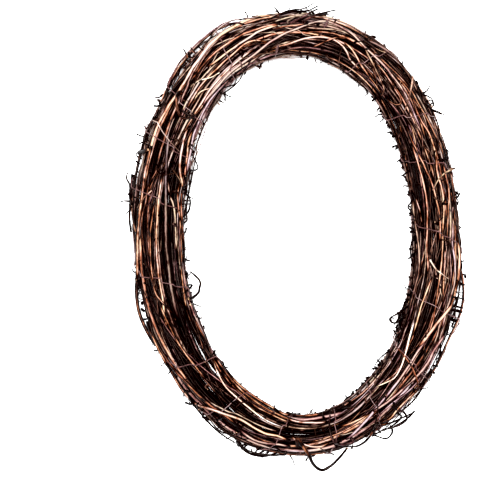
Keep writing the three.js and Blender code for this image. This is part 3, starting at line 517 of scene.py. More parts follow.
def lay_canes():
    """Every cane as the solids have it before it settles, with its solid's name."""
    for_front = seeded(TAIL_SEED)
    for_inner = seeded(INNER_SEED)
    canes = [front_cane(index, for_front) for index in range(len(FRONT_CANES))]
    kinds = [(radii, length) for count, radii, length in INNER_CANES for _ in range(count)]
    canes += [inner_cane(index, *kind, for_inner) for index, kind in enumerate(kinds)]
    for index, cane in enumerate(canes, 1):
        past_front = index - len(FRONT_CANES)
        cane["name"] = f"cane_front_{index:02d}" if past_front <= 0 else f"cane_inner_{past_front:02d}"
    return canes


class Bundle:
    """Canes joined into long arrays, to ease them apart all at once."""

    def __init__(self, canes, density=1):
        self.canes = canes
        lengths = [len(cane["station"]) for cane in canes]
        self.ends = np.cumsum(lengths)
        self.starts = self.ends - lengths
        for key in ("station", "offset", "height", "radius", "shown", "free"):
            setattr(self, key, np.concatenate([cane[key] for cane in canes]))
        self.middle, self.half = bundle_at(self.station)
        self.target = self.offset.copy(), self.height.copy()
        self.count = len(self.station)
        self.next = np.minimum(np.arange(self.count) + 1, np.repeat(self.ends - 1, lengths))
        section = np.round(self.station * density).astype(int) % (STATIONS * density)
        pairs = []
        for at in range(STATIONS * density):
            here = np.flatnonzero(section == at)
            first, second = np.triu_indices(len(here), 1)
            pairs.append((here[first], here[second]))
        self.a, self.b = (np.concatenate(side) for side in zip(*pairs))
        inner = np.ones(self.count, bool)
        inner[self.starts] = inner[self.ends - 1] = False
        self.within = np.flatnonzero(inner)

    def push_apart(self, push, share, ease, gap, weight=None):
        """Adds to push what moves canes that touch apart, at a share of the way to the next station."""
        a, b, na, nb = self.a, self.b, self.next[self.a], self.next[self.b]
        across = mix(self.offset[a], self.offset[na], share) - mix(self.offset[b], self.offset[nb], share)
        up = mix(self.height[a], self.height[na], share) - mix(self.height[b], self.height[nb], share)
        touching = mix(self.radius[a], self.radius[na], share) + mix(self.radius[b], self.radius[nb], share)
        near = np.flatnonzero(across * across + up * up < (touching + gap) ** 2)
        a, b, na, nb, across, up = (v[near] for v in (a, b, na, nb, across, up))
        apart = np.hypot(across, up) + TINY
        size = ease * (touching[near] + gap - apart) / apart
        of_a = of_b = 1
        if weight is not None:
            of_a = 2 * weight[b] / (weight[a] + weight[b])
            of_b = 2 - of_a
        for index, way in ((a, (1 - share) * of_a), (na, share * of_a),
                           (b, (share - 1) * of_b), (nb, -share * of_b)):
            push[0] += np.bincount(index, way * size * across, self.count)
            push[1] += np.bincount(index, way * size * up, self.count)

    def straighten(self, push, share):
        """Adds to push what takes the bends out of the canes."""
        i = self.within
        share = np.broadcast_to(share, self.count)[i]
        for axis, value in enumerate((self.offset, self.height)):
            push[axis][i] += share * (value[i - 1] + value[i + 1] - 2 * value[i])

    def draw_in(self, which, share):
        """Moves what stands out of the bundle some way back to its skin."""
        across = (self.offset - self.middle) / (self.half - self.radius)
        up = self.height / (self.half * FLATNESS - self.radius)
        out = np.maximum(TINY, np.hypot(across, up))
        back = np.where(which & (out > 1), share * (1 / out - 1), 0)
        self.offset += back * (self.offset - self.middle)
        self.height += back * self.height

    def share_out(self):
        """Gives each cane its eased places."""
        for cane, start, end in zip(self.canes, self.starts, self.ends):
            cane["offset"] = self.offset[start:end].copy()
            cane["height"] = self.height[start:end].copy()


def settle(canes):
    """Eases the canes apart just as the solids are."""
    bundle = Bundle(canes)
    for round_number in range(SETTLE_ROUNDS):
        supple = max(0, 1 - round_number / (SETTLE_ROUNDS * SUPPLE_SHARE))
        push = np.zeros((2, bundle.count))
        for share in QUARTERS:
            bundle.push_apart(push, share, EASE, CANE_GAP)
        bundle.straighten(push, STIFFNESS * supple)
        if supple > 0:
            hold = np.where(bundle.free, HOLD_BULGE, HOLD_ACROSS * supple) * bundle.shown
            push[0] += hold * (bundle.target[0] - bundle.offset)
            push[1] += HOLD_UP * supple * bundle.shown * (bundle.target[1] - bundle.height)
        bundle.offset += push[0]
        bundle.height += push[1]
        bundle.draw_in(~bundle.free, DRAW_IN)
    bundle.share_out()


canes = lay_canes()
settle(canes)


def discs_at(canes, station):
    """The canes' discs in one section: cane index, station, offset, height and radius."""
    discs = []
    for index, cane in enumerate(canes):
        first, last = cane["station"][0], cane["station"][-1]
        s = station + math.ceil((first - station) / STATIONS) * STATIONS
        while s <= last:
            i = min(int(s - first), len(cane["station"]) - 2)
            share = s - first - i
            blend = [mix(cane[key][i], cane[key][i + 1], share) for key in ("offset", "height", "radius")]
            discs.append((index, s, *blend))
            s += STATIONS
    return np.array(discs)


def reach_of(discs, middle, angle):
    """How far each disc reaches from the bundle's middle in a direction."""
    return (discs[:, 2] - middle) * math.cos(angle) + discs[:, 3] * math.sin(angle) + discs[:, 4]


def outermost(discs, middle, angle):
    """The disc that reaches furthest from the bundle's middle in a direction."""
    return discs[reach_of(discs, middle, angle).argmax()]


FAN = [degrees * DEGREE for degrees in range(-48, 49, 12)]


def skin_at(discs, middle, angle):
    """How far out a taut skin round the discs lies in a direction."""
    return min(reach_of(discs, middle, angle + turn).max() / math.cos(turn) for turn in FAN)


def on_bundle(station, angle, out):
    """A point in space by the angle round the bundle and the distance from its middle."""
    return in_space(station, middle_at(station) + out * math.cos(angle), out * math.sin(angle))


def cane_line(cane):
    return in_space(cane["station"], cane["offset"], cane["height"])


def smooth_curve(points, shares):
    """Points of a centripetal curve through the given ones, at shares from 0 to 1."""
    points = np.asarray(points, float)
    points = np.vstack([2 * points[0] - points[1], points, 2 * points[-1] - points[-2]])
    last = len(points) - 4
    place = np.asarray(shares) * (last + 1)
    i = np.minimum(place.astype(int), last)
    w = (place - i)[:, None]
    p0, p1, p2, p3 = (points[i + k] for k in range(4))
    spans = ((p0, p1), (p1, p2), (p2, p3))
    d0, d1, d2 = (np.sqrt(np.linalg.norm(q - p, axis=1))[:, None] for p, q in spans)
    t1 = (p1 - p0) / d0 - (p2 - p0) / (d0 + d1) + (p2 - p1) / d1
    t2 = (p2 - p1) / d1 - (p3 - p1) / (d1 + d2) + (p3 - p2) / d2
    t1, t2 = t1 * d1, t2 * d1
    return p1 + w * (t1 + w * (3 * (p2 - p1) - 2 * t1 - t2 + w * (2 * (p1 - p2) + t1 + t2)))


def length_of(line):
    return np.linalg.norm(np.diff(line, axis=0), axis=1).sum()


def run_of(line):
    """The distance along a line at each of its points."""
    return np.concatenate([[0], np.cumsum(np.linalg.norm(np.diff(line, axis=0), axis=1))])


def points_at(place, run, line):
    """The points of a line at places along it."""
    return np.stack([np.interp(place, run, column) for column in line.T], 1)


class Stretches:
    """The straight stretches of everything laid so far."""

    def __init__(self):
        self.start = np.zeros((0, 3))
        self.end = np.zeros((0, 3))
        self.radius = np.zeros(0)
        self.owner = np.zeros(0, int)

    def note(self, owner, line, radii):
        self.start = np.vstack([self.start, line[:-1]])
        self.end = np.vstack([self.end, line[1:]])
        self.radius = np.append(self.radius, radii[:-1])
        self.owner = np.append(self.owner, np.full(len(line) - 1, owner))

    def near(self, point, owner):
        """The stretches near a point that something else owns."""
        which = (self.owner != owner) & (np.linalg.norm(self.start - point, axis=1) < NEAR)
        return self.start[which], self.end[which], self.radius[which]


def is_clear(start, end, radius, others):
    """Whether a straight stretch keeps its gap to others, tried at a few points along it."""
    from_, to, radii = others
    along = to - from_
    squares = np.maximum(TINY ** 2, np.sum(along * along, 1))
    for share in SHARES_TRIED:
        point = mix(start, end, share)
        if point[2] < radius + SHOOT_GAP - FOOT_DEPTH:
            return False
        t = np.clip(np.sum((point - from_) * along, 1) / squares, 0, 1)
        gaps = np.linalg.norm(from_ + along * t[:, None] - point, axis=1) - radius - radii
        if gaps.min() < SHOOT_GAP:
            return False
    return True


def grow_shoot(canes, stretches, radius, places):
    """A shoot from the outermost cane under its first place, lifted over whatever is in its way."""
    distance, angle = places[0][:2]
    station = float(station_at(distance))
    discs = discs_at(canes, station)
    root = outermost(discs, middle_at(station), angle * DEGREE)
    index, start = int(root[0]), in_space(*root[1:4])
    others = stretches.near(start, index)
    thick = min(radius, root[4] * ROOT_SHARE)
    places = np.array(places, float) * (1, ROUND, 1)
    course = smooth_curve(places, np.linspace(0, 1, COURSE_STEPS))
    steps = max(2, round(length_of(course) / SHOOT_STEP))
    line = [start]
    lift = 0
    for along, around, height in smooth_curve(places, np.linspace(0, 1, steps + 1)):
        at = float(station_at(along))
        turn = around / ROUND * DEGREE
        rest = skin_at(discs_at(canes, at), middle_at(at), turn) + height + thick + SHOOT_GAP
        lift = max(0, lift - LIFT_STEP * 2)
        while lift <= MOST_LIFT and not is_clear(line[-1], on_bundle(at, turn, rest + lift), thick, others):
            lift += LIFT_STEP
        if lift > MOST_LIFT:
            return None
        line.append(on_bundle(at, turn, rest + lift))
    stretches.note(-1, np.array(line), np.full(len(line), thick))
    return {"cane": index, "line": np.array(line), "radius": thick}


def first_grown(canes, stretches, radius, places):
    """The shoot at the first shift along the ring that leaves room for it."""
    for shift in SHOOT_SHIFTS:
        moved = [(distance + shift, *rest) for distance, *rest in places]
        grown = grow_shoot(canes, stretches, radius, moved)
        if grown:
            return grown
    return None


def spur_places(random):
    """The places of a short spur, anywhere round the ring."""
    distance = RING_LENGTH * random()
    angle = mix(*SPUR_AROUND, random())
    length = mix(*SPUR_LENGTH, random())
    lean = mix(-SPUR_LEAN, SPUR_LEAN, random()) * length
    turn = mix(-SPUR_TURN, SPUR_TURN, random())
    return [(distance + lean * share, angle + turn * share, length * share) for share in (0, 0.5, 1)]


def wire_turn(step, steps):
    """The station of a step along the wire and its angle round the bundle."""
    turn = min(int(step / steps), len(WIRE_CROSSINGS) - 2)
    distance = mix(WIRE_CROSSINGS[turn], WIRE_CROSSINGS[turn + 1], step / steps - turn)
    return float(station_at(distance)), math.pi / 2 - step * 2 * math.pi / steps


def solid_wire_line(canes):
    """The line of the solid wire, which the shoots keep clear of."""
    turns = len(WIRE_CROSSINGS) - 1
    reaches = []
    for k in range(turns * WIRE_STEPS):
        station, angle = wire_turn(k + 0.5, WIRE_STEPS)
        beside = (discs_at(canes, station + shift) for shift in WIRE_BESIDE)
        reaches.append(max(reach_of(discs, middle_at(station), angle).max() for discs in beside))
    line = []
    for k in range(1, len(reaches)):
        clear = max(reaches[k - 1], reaches[k]) + WIRE_RADIUS + WIRE_GAP
        line.append(on_bundle(*wire_turn(k, WIRE_STEPS), clear / math.cos(math.pi / WIRE_STEPS)))
    return np.array(line)


def grow_shoots(canes):
    """Every shoot and spur as the solids have them."""
    stretches = Stretches()
    for index, cane in enumerate(canes):
        stretches.note(index, cane_line(cane), cane["radius"])
    wire = solid_wire_line(canes)
    stretches.note(-2, wire, np.full(len(wire), WIRE_RADIUS))
    random = seeded(SPUR_SEED)
    spurs = [(SPUR_RADIUS, spur_places(random)) for _ in range(SPUR_COUNT)]
    found = []
    for index, shoot in enumerate(SHOOTS + spurs):
        grown = first_grown(canes, stretches, *shoot)
        if grown:
            found.append({**grown, "pale": index in PALE_SHOOTS})
    return found


shoots = grow_shoots(canes)

# Finer easing, and how far each cane wavers by itself
DENSITY = 4  # sections for each section of the solids
FINE_ROUNDS = 200
FINE_EASE = 0.12
FINE_GAP = 0.12
FINE_STIFFNESS = 0.2
FINE_HOLD = 0.1
CANE_WEIGHT = 8  # of a cane, over that of a vine as thick
WAVER = 0.4
WAVES = 2
WAVE_SIZES = (0.4, 1)
WAVER_LENGTHS = (9, 26)  # in fine sections
WAVER_FADE = 6  # fine sections in which it fades out at a cane's ends
WAVER_RADIUS = 1.9  # of a cane that wavers in full, thicker ones less and thinner ones more
WAVER_LIMITS = (0.6, 1.2)
WAVER_UP = 0.6  # share of it in height
SLIM = 0.86  # of the solids' radii, and less of what is over THICK, since vines fill in beside them
THICK = 1.6
SLIM_THICK = 0.55
KINK = 0.85
KINK_SPACING = (7, 16)  # in fine sections

# Finer vines along the canes: how many, radii, lengths, most turn in a step, depths, angles and barks
VINE_STEP = 45
VINE_SEED = 5
VINES = [
    (20, (0.95, 1.35), (300, 620), 0.45, (0.5, 0.8), (-20, 340), ("dark", "brown")),
    (42, (0.6, 1.1), (160, 420), 0.8, (0.8, 0.97), (-10, 190),
     ("dark", "brown", "orange", "brown", "pink")),
    (14, (0.6, 1.1), (120, 300), 0.5, (0.9, 1), (180, 360), ("brown", "dark", "orange")),
]
VINE_DRIFT = 0.6  # shares of the most turn
VINE_WANDER = 0.7
VINE_OUT_STEP = 0.12
VINE_TAPER = 0.7
# Vines that cross the front slantwise
CROSSING_VINES = 38
CROSSING_RADII = (0.5, 1.05)
CROSSING_LENGTHS = (50, 180)
CROSSING_ANGLES = (5, 175)  # round the bundle, between which they stay
CROSSING_TURN = (35, 120)
CROSSING_OUT = 1.05
CROSSING_SINK = 0.25  # at both ends
CROSSING_STEEPEST = 1.1  # degrees for each millimetre
CROSSING_PLACES = np.linspace(0, 1, 7)
CROSSING_TAPER = 0.65
CROSSING_BARKS = ("orange", "brown", "brown", "pink", "dark")
# Vines that stand a little off the edges, so that the ground shows between
EDGES = (0, 180)  # angles round the bundle, in degrees
TOP = 90
EDGE_VINES = 66
EDGE_RADII = (0.5, 1.05)
EDGE_LENGTHS = (35, 90)
EDGE_SPREAD = 34  # degrees up or down from the edge
EDGE_OUT = (1.02, 1.17)
EDGE_ROOT = 0.9  # how far out they leave the bundle
EDGE_BOW = 0.7  # power of the bow's sine, rounder when smaller
EDGE_WANDER = 16  # degrees
EDGE_PLACES = np.linspace(0, 1, 6)
EDGE_TAPER = 0.65
INNER_EDGE_LESS = 0.07  # they stand off less inside the ring
EDGE_BARKS = ("dark", "brown", "brown", "pink")


def resampled(cane, density, station):
    """A cane's offset, height and radius at other stations, on one smooth curve."""
    place = (station - cane["station"][0]) * density
    values = np.stack([cane["offset"], cane["height"], cane["radius"]], 1)
    values = np.vstack([2 * values[0] - values[1], values, 2 * values[-1] - values[-2]])
    i = np.clip(place.astype(int), 0, len(values) - 4)
    t = (place - i)[:, None]
    return between(*(values[i + k] for k in range(4)), t)


def kink_places(count, random):
    """Where a cane bends at its knots."""
    places = [random.uniform(0, KINK_SPACING[0])]
    while places[-1] < count:
        places.append(places[-1] + random.uniform(*KINK_SPACING))
    return np.array(places)


def wavering(count, kinks, random):
    """Small waves and bends along a cane, which fade out at its ends."""
    at = np.arange(count)
    wave = np.zeros(count)
    for _ in range(WAVES):
        wave += random.uniform(*WAVE_SIZES) * np.sin(at / random.uniform(*WAVER_LENGTHS) * 2 * math.pi
                                                     + random.uniform(0, 2 * math.pi))
    bends = np.interp(at, kinks, random.uniform(-KINK, KINK, len(kinks)))
    return (WAVER * wave + bends) * np.clip(np.minimum(at, at[::-1]) / WAVER_FADE, 0, 1)


def finer(cane, random):
    """The same cane with more sections, wavering a little."""
    first, last = (round(cane["station"][end] * DENSITY) for end in (0, -1))
    station = np.arange(first, last + 1) / DENSITY
    offset, height, radius = resampled(cane, 1, station).T
    slim = np.clip(WAVER_RADIUS / radius, *WAVER_LIMITS)
    radius = SLIM * np.minimum(radius, THICK) + SLIM_THICK * np.maximum(0, radius - THICK)
    kinks = kink_places(len(station), random)
    offset = offset + wavering(len(station), kinks, random) * slim
    height = height + wavering(len(station), kinks, random) * slim * WAVER_UP
    shown = np.ones(len(station), bool)
    return {**cane, "station": station, "offset": offset, "height": height, "radius": radius,
            "shown": shown, "free": shown, "weight": radius ** 2 * CANE_WEIGHT,
            "kinks": station[0] + kinks[kinks < len(station) - 1] / DENSITY}


def vine_through(places, radius, taper, bark):
    """A vine through places, with the weight that it has against the canes."""
    made = cane_through(places, (radius, radius * taper), bark, density=DENSITY)
    made["weight"] = made["radius"] ** 2
    return made


def vine(radii, lengths, turn, depths, angles, bark, random):
    """A vine that wanders along inside the bundle or on its skin."""
    radius = random.uniform(*radii)
    length = random.uniform(*lengths)
    start = random.uniform(0, RING_LENGTH)
    angle = random.uniform(*angles) * DEGREE
    out = random.uniform(*depths)
    drift = random.uniform(-turn, turn) * VINE_DRIFT
    places = []
    for run in np.arange(0, length + VINE_STEP, VINE_STEP):
        places.append(place_inside(start + run, angle, out, radius))
        angle += drift + random.uniform(-turn, turn) * VINE_WANDER
        out = float(np.clip(out + random.uniform(-VINE_OUT_STEP, VINE_OUT_STEP), *depths))
    return vine_through(places, radius, VINE_TAPER, bark)


def crossing_vine(random):
    """A vine over the front, from one side of it towards the other."""
    radius = random.uniform(*CROSSING_RADII)
    length = random.uniform(*CROSSING_LENGTHS)
    start = random.uniform(0, RING_LENGTH)
    way = random.choice((-1, 1))
    turn = min(random.uniform(*CROSSING_TURN), length * CROSSING_STEEPEST)
    first = random.uniform(CROSSING_ANGLES[0], CROSSING_ANGLES[1] - turn)
    if way < 0:
        first += turn
    places = []
    for share in CROSSING_PLACES:
        out = CROSSING_OUT - (CROSSING_SINK if share in (0, 1) else 0)
        angle = (first + way * turn * share) * DEGREE
        places.append(place_inside(start + length * share, angle, out, radius))
    return vine_through(places, radius, CROSSING_TAPER, str(random.choice(CROSSING_BARKS)))


def edge_vine(random):
    """A vine that leaves the bundle's edge, stands off it and comes back."""
    radius = random.uniform(*EDGE_RADII)
    length = random.uniform(*EDGE_LENGTHS)
    start = random.uniform(0, RING_LENGTH)
    side = random.choice(EDGES)
    angle = side + random.uniform(-EDGE_SPREAD, EDGE_SPREAD)
    most = random.uniform(*EDGE_OUT) - (INNER_EDGE_LESS if side else 0)
    places = []
    for share in EDGE_PLACES:
        out = mix(EDGE_ROOT, most, math.sin(share * math.pi) ** EDGE_BOW if 0 < share < 1 else 0)
        turned = angle + random.uniform(-EDGE_WANDER, EDGE_WANDER)
        places.append(place_inside(start + length * share, turned * DEGREE, out, radius))
    made = vine_through(places, radius, EDGE_TAPER, str(random.choice(EDGE_BARKS)))
    made["free"] = np.ones(len(made["station"]), bool)
    return made


def lay_vines(random):
    """Every finer vine, before it is eased in among the canes."""
    made = []
    for count, *kind, barks in VINES:
        made += [vine(*kind, barks[index % len(barks)], random) for index in range(count)]
    made += [crossing_vine(random) for _ in range(CROSSING_VINES)]
    return made + [edge_vine(random) for _ in range(EDGE_VINES)]


def ease_finely(all_canes):
    """Eases canes and vines apart once more, while the canes stay where the solids are."""
    bundle = Bundle(all_canes, DENSITY)
    weight = np.concatenate([cane["weight"] for cane in all_canes])
    held = bundle.free
    for round_number in range(FINE_ROUNDS):
        supple = max(0, 1 - round_number / (FINE_ROUNDS * SUPPLE_SHARE))
        push = np.zeros((2, bundle.count))
        bundle.push_apart(push, 0, FINE_EASE, FINE_GAP, weight)
        bundle.straighten(push, FINE_STIFFNESS * supple)
        for axis, value in enumerate((bundle.offset, bundle.height)):
            push[axis] += FINE_HOLD * supple * held * (bundle.target[axis] - value)
            value += push[axis]
        bundle.draw_in(~held, DRAW_IN)
    bundle.share_out()


random = np.random.default_rng(VINE_SEED)
fine_canes = [finer(cane, random) for cane in canes]
vines = lay_vines(random)
ease_finely(fine_canes + vines)

# Meshes
FIRST_SIDE = np.array([0.1, 0.1, 1])
LINE_STEP = 2.1  # length of each straight in a cane
CANE_POINTS = 4  # at least
SHOOT_LINE_STEP = 1.1
THIN_STEP = 1.3  # times that, for canes thinner than THIN
THIN = 1
SIDES = ((2.2, 14), (1.75, 12), (1.4, 10), (1, 8))  # of a tube over each radius
FEWEST_SIDES = 6
RIDGES = [(3, 0.05), (5, 0.035), (8, 0.025)]  # waves round a cane, and their share of its radius
RIDGE_TWIST = 0.03
RIDGE_LEAN = (0.6, 0.4)  # their usual height, and how much it rises and falls along them
RIDGE_LENGTHS = (6, 16)
PLACE_SPREAD = 900  # the canes lie this far apart at most in the bark's noise
KNOT_SPACING = (38, 82)
KNOT_START = 0.9  # share of the first spacing that may fall away
KNOT_LAST = 4  # millimetres before the tip, where there are no more
KNOT_SWELL = (0.12, 0.3)
SHOOT_SWELL = (0.15, 0.35)
KNOT_LENGTH = 2.6
KNOT_FRONT = 0.55  # share of that on the tip's side
KNOT_LEAN = (0.75, 0.5)  # swelling all round, and more on the side that it faces
KNOT_TURN = 0.4
KNOT_TONE = -0.2
BUDS = 0.6  # share of the knots with a bud
BUD_LENGTH = (1.4, 3)
BUD_LEANS = (0.4, 0.9)
BUD_OUT = 1.1
BUD_DEPTH = 0.7
BUD_SHARES = np.array([0, 0.45, 0.8, 1])
BUD_WIDTHS = np.array([1, 0.85, 0.5, 0.15])
BUD_WIDTH = (0.75, 0.42)  # at most, and as a share of the cane's radius
BUD_TONE = -0.12
BUD_SIDES = 5
ROUNDED = (False, False)  # neither end shows cut wood
TIP_WIDTH = 0.72  # share of its radius that a cane keeps at its tip
TIP_POINTS = 8
FLARE = 0.35  # how much wider a shoot is near its root
FLARE_FALL = 1.5
SHOOT_TONE = -0.04
SHOOT_SIDES = 8
STOUT_SIDES = 10
SHOOT_POINTS = 6  # at least
STOUT = 1.5  # least radius of a stout shoot
STOUTEST = 2  # radius over which its tip stays thick
FOOT_SHARES = np.array([0, 0.3, 0.6, 0.85, 1])
FOOT_WIDTHS = np.array([1.25, 1.1, 1, 0.97, 1])
FOOT_SIDES = 12
FOOT_RIDGED = 0.6
PALE_SLIM = 0.75
PALE_TONES = (0.18, 0.02)  # from root to tip
STOUT_TIP = 0.85
DEPTH_SHADE = -1  # painted shade: change of tone from the skin to the bundle's middle, darker deeper in
LIGHT_AND_SHADE_TONE = 0.6  # painted highlight on the side that faces up and out of the bundle, and painted shade on the other
UPWARD_LESS = 1.6  # how fast the side with the painted highlight turns outward further down
UNDER_LIGHT = 0.45  # painted light that makes the flanks and the underside paler
UNDER_FROM = 0.4
UNDER_SLOPE = 2
RIM_FROM = 0.84  # share of the bundle's half width from which painted shade darkens its bark
RIM_SHADE = -0.14
RIM_HEIGHTS = (8, 16)  # over the bundle's underside, between which the painted rim shade sets in
PALE_RIM = (0.545, 0.07)  # where round the ring, in turns, the inner rim has no painted shade, and how far
# Change of tone round the ring, at even steps of the oval's own angle, clockwise from the top
SHADES = [0.07, 0.01, 0, -0.01, 0.01, 0, -0.02, -0.07, -0.09, -0.07, 0, 0.08]


def unit(vectors):
    return vectors / np.maximum(TINY, np.linalg.norm(vectors, axis=-1, keepdims=True))


def frames_along(line):
    """Two directions across a line at each of its points, carried along without twist."""
    along = unit(np.gradient(line, axis=0))
    side = FIRST_SIDE
    sides = []
    for direction in along:
        side = side - direction * (side @ direction)
        side = side / math.sqrt(side @ side)
        sides.append(side)
    sides = np.array(sides)
    return along, sides, np.cross(along, sides)


def shade_at(line):
    """The change of tone at the points of a line, by where they lie round the ring and across it, with
    painted shade on the bundle's rims.
    """
    turn = np.arctan2(line[:, 0] / HALF_WIDTH, line[:, 1] / HALF_HEIGHT) / (2 * math.pi) % 1
    oval = np.hypot(line[:, 0] / HALF_WIDTH, line[:, 1] / HALF_HEIGHT)
    offset = np.hypot(line[:, 0], line[:, 1]) * (1 - 1 / oval)
    middle, half = bundle_at(turn * STATIONS)
    rim = np.clip((np.abs(offset - middle) / half - RIM_FROM) / (1 - RIM_FROM), 0, 1)
    rim = rim * np.clip((line[:, 2] - RIM_HEIGHTS[0]) / (RIM_HEIGHTS[1] - RIM_HEIGHTS[0]), 0, 1)
    rim = rim * (1 - (offset < middle) * np.exp(-((turn - PALE_RIM[0]) / PALE_RIM[1]) ** 2))
    # painted shade on the rims of the bundle
    return np.interp(turn * len(SHADES), np.arange(len(SHADES) + 1), SHADES + SHADES[:1]) + RIM_SHADE * rim


def ridged_size(run, angle, ridged, random):
    """The size of a tube with ridges along it, at each point, as a share of its radius."""
    size = np.ones((len(run), len(angle)))
    for waves, height in RIDGES:
        if waves * 2 < len(angle):
            twist = run * random.uniform(-RIDGE_TWIST, RIDGE_TWIST) + random.uniform(0, 2 * math.pi)
            lean = RIDGE_LEAN[0] + RIDGE_LEAN[1] * np.sin(
                run / random.uniform(*RIDGE_LENGTHS) + random.uniform(0, PHASES))
            size += ridged * height * lean[:, None] * np.cos(waves * angle + twist[:, None])
    return size


def bark_places(radius, run, angle, random):
    """Where each point of a tube lies in the bark's noise: round the tube and along it."""
    places = np.broadcast_arrays(radius * np.cos(angle), radius * np.sin(angle), run[:, None])
    return np.stack(places, -1) + random.uniform(0, PLACE_SPREAD, 3)


class Shape:
    """Tubes gathered into one mesh, with the place on the bark and a tone kept at each point."""

    def __init__(self):
        self.points, self.places, self.tones = [], [], []
        self.quads, self.triangles, self.cut_triangles = [], [], []
        self.count = 0

    def add_points(self, points, places, tones):
        self.points.append(points)
        self.places.append(places)
        self.tones.append(np.broadcast_to(tones, len(points)))
        self.count += len(points)
        return self.count - len(points)

    def cap(self, ring, places, tone, turned, cut):
        """Closes an end with a flat face, cut wood or bark."""
        sides = len(ring)
        first = self.add_points(np.vstack([ring, ring.mean(0)]), np.vstack([places, places.mean(0)]), tone)
        j = np.arange(sides)
        corners = np.stack([np.full(sides, sides), (j + 1) % sides, j], 1) + first
        if turned:
            corners = corners[:, ::-1]
        (self.cut_triangles if cut else self.triangles).append(corners)

    def tube(self, line, radii, sides, random, tone=0, ridged=1, knots=(), cut=(True, True), lit_way=None):
        """A tube along a line, with ridges along it, swellings at its knots, a painted highlight on one
        side and painted shade on the other.
        """
        run = run_of(line)
        along, side, other = frames_along(line)
        angle = 2 * math.pi * np.arange(sides) / sides
        size = ridged_size(run, angle, ridged, random)
        # tone round the ring, with painted shade on the bundle's rims
        tone = tone + shade_at(line)
        for at, swell, facing in knots:
            bump = np.exp(-((run - at) / np.where(run > at, KNOT_LENGTH * KNOT_FRONT, KNOT_LENGTH)) ** 2)
            size += swell * bump[:, None] * (KNOT_LEAN[0] + KNOT_LEAN[1] * np.cos(angle - facing))
            tone = tone + KNOT_TONE * bump
        across = np.cos(angle)[:, None] * side[:, None] + np.sin(angle)[:, None] * other[:, None]
        points = line[:, None] + (np.asarray(radii)[:, None] * size)[..., None] * across
        places = bark_places(float(np.mean(radii)), run, angle, random)
        tones = np.broadcast_to(np.asarray(tone, float).reshape(-1, 1), (len(line), sides))
        # painted highlight on the side that faces the given way, and painted shade on the side away from it
        if lit_way is not None:
            facing = (across * lit_way[:, None]).sum(-1)
            tones = tones + LIGHT_AND_SHADE_TONE * facing * np.abs(facing)
        tones = tones.ravel()
        first = self.add_points(points.reshape(-1, 3), places.reshape(-1, 3), tones)
        i = np.arange(len(line) - 1)[:, None] * sides + first
        j = np.arange(sides)
        k = (j + 1) % sides
        self.quads.append(np.stack([i + j, i + k, i + k + sides, i + j + sides], -1).reshape(-1, 4))
        self.cap(points[0], places[0], tones[0], False, cut[0])
        self.cap(points[-1], places[-1], tones[-1], True, cut[1])
        return along, side, other

    def piece(self, name, materials):
        """Makes the mesh object, in metres in the frame."""
        points = (np.vstack(self.points) + SHIFT) * MM
        faces = [np.vstack(group) if group else np.zeros((0, size), int)
                 for group, size in ((self.quads, 4), (self.triangles, 3), (self.cut_triangles, 3))]
        mesh = bpy.data.meshes.new(name)
        mesh.from_pydata(points.tolist(), [], [face for group in faces for face in group.tolist()])
        smooth = np.zeros(len(mesh.polygons), bool)
        smooth[:len(faces[0])] = True
        mesh.polygons.foreach_set("use_smooth", smooth)
        slots = np.zeros(len(mesh.polygons), np.int32)
        slots[len(faces[0]) + len(faces[1]):] = len(materials) - 1
        mesh.polygons.foreach_set("material_index", slots)
        place = mesh.attributes.new("bark_place", "FLOAT_VECTOR", "POINT")
        place.data.foreach_set("vector", np.vstack(self.places).astype(np.float32).ravel())
        tone = mesh.attributes.new("bark_tone", "FLOAT", "POINT")
        tone.data.foreach_set("value", np.concatenate(self.tones).astype(np.float32))
        for material in materials:
            mesh.materials.append(material)
        made = bpy.data.objects.new(name, mesh)
        bpy.context.scene.collection.objects.link(made)
        return made


def shift_of_solids():
    """How far the solids' frame lies from that of the lay-out, from the boxes of the canes."""
    shifts = []
    for cane in canes:
        line = cane_line(cane)
        low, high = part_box(cane["name"])
        shifts.append((np.array(low) + np.array(high)) / 2 / MM - (line.min(0) + line.max(0)) / 2)
    across = np.median(shifts, 0)
    return np.array([across[0], across[1], FOOT_DEPTH])


SHIFT = shift_of_solids()


def fine_line(cane, step=LINE_STEP):
    """A cane's line in even steps, its radii, how far out it lies, 1 at the skin, and which way is out."""
    rough = cane_line(cane)
    count = max(CANE_POINTS, round(length_of(rough) / step))
    station = np.linspace(cane["station"][0], cane["station"][-1], count)
    offset, height, radius = resampled(cane, DENSITY, station).T
    middle, half = bundle_at(station)
    out = np.hypot((offset - middle) / (half - radius), height / (half * FLATNESS - radius))
    line = in_space(station, offset, height)
    return line, radius, np.minimum(out, 1), unit(line - in_space(station, middle, 0))


def worn_side(outward):
    """The way the side with the painted highlight faces: up on the front, and out of the bundle further
    down.
    """
    upward = np.clip(1 + UPWARD_LESS * outward[:, 2:], 0, 1)
    return unit(outward + np.array([0, 0, 1]) * upward)


def knots_at(places, random, swell=KNOT_SWELL):
    """Knots that face to one side and the other by turns: place, swelling and facing."""
    facing = random.uniform(0, 2 * math.pi)
    return [(at, random.uniform(*swell), facing + (k % 2) * math.pi + random.uniform(-KNOT_TURN, KNOT_TURN))
            for k, at in enumerate(places)]


def knots_along(length, random, swell=KNOT_SWELL):
    """Knots at uneven spacings."""
    spacings = random.uniform(*KNOT_SPACING, int(length / KNOT_SPACING[0]) + 1)
    places = np.cumsum(spacings) - spacings[0] * random.uniform(0, KNOT_START)
    return knots_at(places[places < length - KNOT_LAST], random, swell)


def sides_for(radius):
    return next((sides for over, sides in SIDES if radius > over), FEWEST_SIDES)


